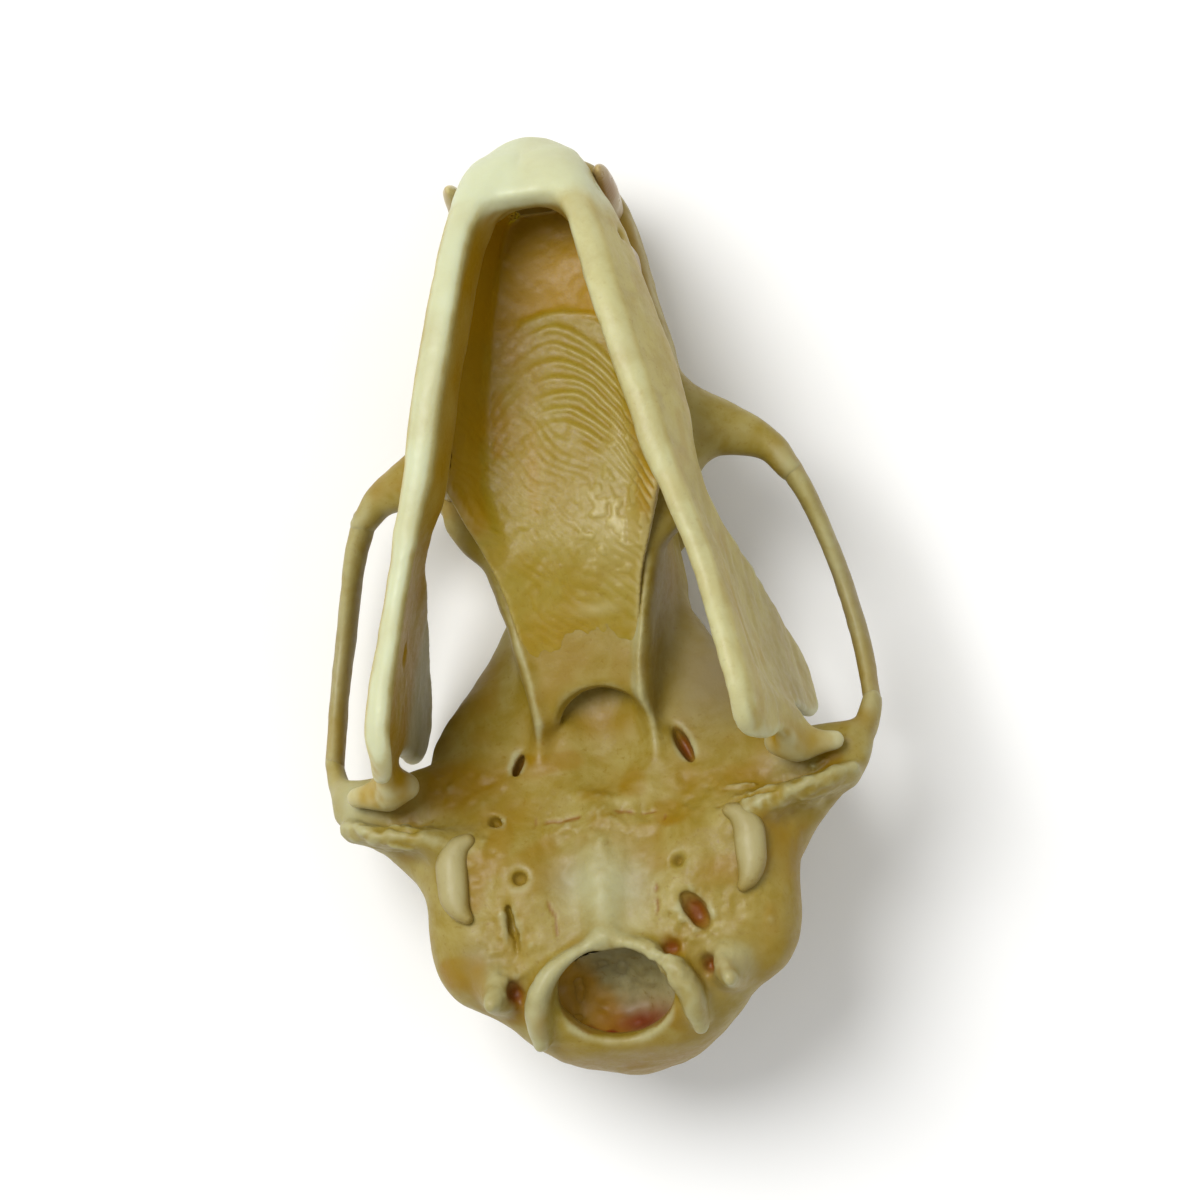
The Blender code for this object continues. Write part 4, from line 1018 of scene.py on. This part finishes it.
def from_outline(y, z, outline):
    """Distance from a closed outline over a grid of y and z, less than nothing inside it."""
    for _ in range(2):
        outline = [tuple(np.array(a) * (1 - t) + np.array(b) * t)
                   for a, b in zip(outline, outline[1:] + outline[:1]) for t in (0.25, 0.75)]
    gap = np.full(np.broadcast(y, z).shape, 1e9)
    within = np.zeros(gap.shape, dtype=bool)
    for (ay, az), (by, bz) in zip(outline, outline[1:] + outline[:1]):
        dy, dz = by - ay, bz - az
        t = np.clip(((y - ay) * dy + (z - az) * dz) / (dy * dy + dz * dz), 0, 1)
        gap = np.minimum(gap, np.hypot(y - ay - t * dy, z - az - t * dz))
        if dz:
            within ^= ((az > z) != (bz > z)) & (y < ay + (z - az) * dy / dz)
    return np.where(within, -gap, gap)


def jaw_half(clay, side, blend):
    """One half of the jaw: a plate cut to its side view, thick along both edges in front."""
    near, beyond = sorted((side * 0.2, side * 10.2))
    part, (x, y, z) = clay.window((near, -27.0, -9.2), (beyond, -0.6, 6.4))
    line = smooth_row(JAW_LINE, y.ravel())
    low_z, low_x, low_half, high_z, high_x, high_half = (line[:, i].reshape(1, -1, 1)
                                                         for i in range(6))
    if side < 0:    # the right half stands more upright in the photograph
        upright = fade(y, -3.0, -5.0) * fade(y, -17.5, -15.0)
        high_x, high_half = high_x - 0.34 * upright, high_half - 0.12 * upright
    t = np.clip((low_z - z) / (low_z - high_z), 0, 1.1)
    middle = low_x + (high_x - low_x) * t ** 0.8
    waist = 0.16 * np.sin(math.pi * np.clip(t, 0, 1)) * fade(y, -15.0, -17.5)
    half = low_half + (high_half - low_half) * fade(t, 0.05, 0.8 - 0.45 * fade(y, -15.5, -18.0))
    half = half - waist * 0.4
    flat = from_outline(y, z, JAW_OUTLINE)
    edge_round = np.minimum(half, 0.5)
    out = flat + edge_round
    beside = np.abs(side * x - middle) - half + edge_round
    shape = (np.hypot(np.maximum(out, 0), np.maximum(beside, 0))
             + np.minimum(np.maximum(out, beside), 0) - edge_round)
    clay.press_on(part, shape.astype(np.float32), blend)


jaw_block = Clay((-10.2, -27.0, -9.2), (10.2, -0.3, 6.4), 0.09)
long_form(jaw_block, [
    (-4.3, 1.9, 2.9, 3.9), (-3.9, 2.2, 2.2, 4.15), (-3.1, 2.2, 1.6, 3.95),
    (-2.2, 2.05, 1.35, 3.4), (-1.6, 1.6, 1.15, 2.9), (-1.1, 1.0, 1.05, 2.35),
    (-0.75, 0.35, 1.2, 1.9),
], 0.6, square=2.0, end=0.5)
for side in (1, -1):
    jaw_half(jaw_block, side, 1.2)
    bar(jaw_block, mirrored(side, [
        (7.3, -25.3, -1.7, 0.5, 0.6), (8.3, -25.4, -2.15, 0.5, 0.5),
        (9.4, -25.35, -2.4, 0.4, 0.4)]), 0.8, 12)
    # Nerve holes.
    knob(jaw_block, (side * 6.3, -20.8, 0.6), (0.3, 0.5, 0.35), blend=0.2, dig=True)
    knob(jaw_block, (side * 4.2, -5.6, 3.0), (0.8, 0.28, 0.22), (0, 0, side * 20), 0.15, True)
    knob(jaw_block, (side * 3.1, -3.7, 2.8), (0.6, 0.18, 0.16), blend=0.12, dig=True)
points, faces, normals = sanded(jaw_block, 4)
lift = 0.045 * cloud(points, 1.5, 71) + 0.018 * cloud(points, 0.5, 72)
outer = fade(normals[:, 0] * np.sign(points[:, 0]), 0.1, 0.6)
plate = fade(points[:, 1], -16.0, -19.0)
streaks = cloud(points @ np.diag([1.0, 0.22, 1.0]), 0.5, 74)
lift += 0.04 * plate * outer * streaks
lift -= 0.14 * outer * np.maximum(spot(points, (7.2, -20.8, 0.2), (1.6, 2.6, 3.2)),
                                  spot(points, (-7.2, -20.8, 0.2), (1.6, 2.6, 3.2)))
for side in (1, -1):
    lift -= 0.07 * fade(from_line(points, [(side * 6.6, -17.6, 3.2), (side * 6.9, -20.5, 2.6),
                                           (side * 7.2, -23.0, 2.4)]), 0.5, 0.0)
points = points + normals * lift[:, None]
normals = outward(points, faces)
dip = hollowness(points, faces, normals, 14)
lower_z = smooth_row([(r[0], r[1]) for r in JAW_LINE], points[:, 1])[:, 0]
depth = lower_z - points[:, 2]
facing = normals[:, 0] * np.sign(points[:, 0])
chin_zone = fade(points[:, 1], -5.4, -3.8)
patchy = cloud(points, 1.2, 73)
# Ivory lower edge and chin: pale bone, with painted highlight where they face up, brightest on the
# animal's right, the side towards the main light, and on rounded parts.
strip = fade(depth, 0.7, 0.15) * fade(normals[:, 2], 0.35, 0.85)
lit_side = fade(points[:, 0], 0.5, -0.5)
ivory_and_highlight = np.maximum.reduce([
    strip * (0.85 + 0.25 * patchy) * (0.5 + 0.5 * lit_side),
    chin_zone * fade(normals[:, 2], -0.2, 0.4) * (0.82 + 0.18 * lit_side),
    0.5 * fade(-dip, 0.01, 0.06),
])
# Brown on the inner faces, partly as painted shade; painted shade in the hollows and at the rear next
# to the hinge knob; brown stains and patches elsewhere, and browner on the outer faces away from the
# lower edge in front.
inner_face = fade(facing, -0.15, -0.6)
brown_and_shade = np.maximum.reduce([
    0.85 * inner_face * fade(depth, 0.3, 1.1) * (0.9 + 0.35 * patchy),
    0.85 * spot(points, (2.7, -2.9, 2.4), (0.7, 1.3, 1.0)),
    0.5 * fade(dip, 0.01, 0.06),
    0.6 * spot(points, (-6.3, -20.0, 4.2), (0.35, 3.2, 1.0)) * fade(patchy, -0.2, 0.3),
    0.5 * spot(points, (7.0, -20.5, 2.8), (0.8, 2.4, 1.0)),
    0.4 * fade(facing, 0.3, 0.8) * fade(depth, 1.6, 3.0) * fade(points[:, 1], -16, -12),
    0.3 * fade(cloud(points, 0.9, 75), 0.15, 0.6),
    0.6 * fade(points[:, 1], -24.4, -25.4) * fade(points[:, 2], 1.5, 0.0),
])
greyed = 0.85 * fade(points[:, 2], -1.5, -4.0) * fade(facing, 0.2, -0.4)
jaw_bone = dried_bone("dried_jaw_bone", "#A6944C", "#B3A55E", "#967A22",
                      [("brown_and_shade", "#A07E0A"), ("greyed", "#A9A67F"), ("ivory_and_highlight", "#C4C8A4")], 0.42)
jaw = piece_from("lower_jaw_bone", jaw_bone, points, faces,
                 {"ivory_and_highlight": ivory_and_highlight, "brown_and_shade": brown_and_shade, "greyed": greyed})
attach(jaw, "root")
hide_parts("lower_jaw")


# Lower teeth

# The same enamel crowns as above, smaller and rooted in the jaw; they point to the roof of
# the mouth and pass just inside the upper rows. Two peg-like front teeth a side.
def lower_row_x(y):
    return 2.85 + 2.05 * (-y - 5.0) / 10.0


LOWER_CHEEK_TEETH = [(2.0, 1.15, 0.95), (2.1, 1.2, 0.95), (2.4, 1.3, 0.9), (2.1, 1.25, 0.85),
                     (1.5, 1.0, 0.75)]
lower_block = Clay((-5.8, -15.8, -0.6), (5.8, -0.3, 3.6), 0.065)
for side in (1, -1):
    tooth_row(lower_block, side, -4.8, lower_row_x, 2.35, -1, LOWER_CHEEK_TEETH, tooth_draw)
    bar(lower_block, mirrored(side, [
        (1.55, -2.5, 2.4, 0.5, 0.5), (1.7, -2.1, 1.0, 0.4, 0.46),
        (1.8, -1.85, 0.3, 0.24, 0.28), (1.85, -1.8, -0.05, 0.1, 0.12)]), 0.12, 16)
    for i in range(2):
        bar(lower_block, mirrored(side, [
            (0.32 + 0.42 * i, -1.5, 1.9, 0.17, 0.2), (0.32 + 0.42 * i, -1.25, 1.0, 0.17, 0.18),
            (0.32 + 0.42 * i, -1.15, 0.62, 0.14, 0.1)]), 0.06, 10)
points, faces, normals = sanded(lower_block, 2)
points = points + normals * (0.015 * cloud(points, 0.35, 81))[:, None]
groove = fade(hollowness(points, faces, normals, 12), 0.0, 0.05)
brown_and_shade = 0.6 * fade(points[:, 2], 1.6, 2.4) * (0.7 + 0.6 * cloud(points, 0.8, 82))
lower_teeth = piece_from("lower_teeth", enamel, points, faces, {"brown_and_shade": brown_and_shade, "groove": groove * 0.8})
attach(lower_teeth, "root")


# Table

# A plain pale sheet, matt like uncoated card, with the faint mottle that such a sheet has.
bpy.ops.mesh.primitive_grid_add(x_subdivisions=24, y_subdivisions=24, size=3.0)
table = bpy.context.object
table.name = "pale_card"
card = bpy.data.materials.new("white_card")
card.use_nodes = True
card_shader = card.node_tree.nodes["Principled BSDF"]
card_place = add_node(card, "ShaderNodeTexCoord").outputs["Object"]
mottle = add_node(card, "ShaderNodeTexNoise",
                  [("Scale", 1 / (4.0 * MILLIMETRE)), ("Detail", 3.0)], [("Vector", card_place)])
card_colour = add_node(card, "ShaderNodeMix",
                       [(MIX_A, linear("#F8F8F6")), (MIX_B, linear("#FBFBFA"))],
                       [(MIX_FACTOR, mottle.outputs["Fac"])], data_type="RGBA")
card.node_tree.links.new(card_colour.outputs[MIX_RESULT], card_shader.inputs["Base Color"])
card_shader.inputs["Roughness"].default_value = 0.85
table.data.materials.append(card)


# Light and camera

# A broad soft light stands to the upper left of the picture, so the shadow falls soft to the
# lower right, with a weaker one opposite and an even pale surround.
def soft_light(name, place, aim, size, power):
    lamp = bpy.data.lights.new(name, "AREA")
    lamp.shape = "DISK"
    lamp.size = size
    lamp.energy = power
    made = bpy.data.objects.new(name, lamp)
    made.location = place
    made.rotation_euler = (Vector(aim) - Vector(place)).to_track_quat("-Z", "Y").to_euler()
    bpy.context.scene.collection.objects.link(made)


soft_light("main_light", (-0.13, 0.12, 0.30), (0, 0, 0.008), 0.18, 0.95)
soft_light("fill_light", (0.22, -0.1, 0.35), (0, 0, 0.008), 0.30, 0.15)
world = bpy.data.worlds.new("pale_surround")
bpy.context.scene.world = world
world.use_nodes = True
world.node_tree.nodes["Background"].inputs["Color"].default_value = linear("#FFFFFF")
world.node_tree.nodes["Background"].inputs["Strength"].default_value = 0.5

# Plain display of colours, as a camera's own picture has, with no film-like fading.
bpy.context.scene.view_settings.view_transform = "Standard"

# The view is from straight above, 200 mm over the table, with the skull turned a little.
VIEW_TURN = math.radians(4.58)
VIEW_HEIGHT = 200.0
VIEW_OFFSET = (-2.66, 18.45)
PIXELS_PER_MM = 25.37
PICTURE_SIDE = 1200
camera = bpy.data.cameras.new("camera")
camera.sensor_width = 36.0
camera.lens = PIXELS_PER_MM * VIEW_HEIGHT / PICTURE_SIDE * camera.sensor_width
camera.clip_start = 0.01
viewer = bpy.data.objects.new("camera", camera)
back_turn = Matrix.Rotation(-VIEW_TURN, 4, "Z")
rest_point = lay_down @ Vector((0, 0, 0))
seen_from = Vector((-VIEW_OFFSET[0], -VIEW_OFFSET[1], VIEW_HEIGHT)) * MILLIMETRE
viewer.matrix_world = Matrix.Translation(rest_point) @ back_turn @ Matrix.Translation(seen_from)
bpy.context.scene.collection.objects.link(viewer)
bpy.context.scene.camera = viewer
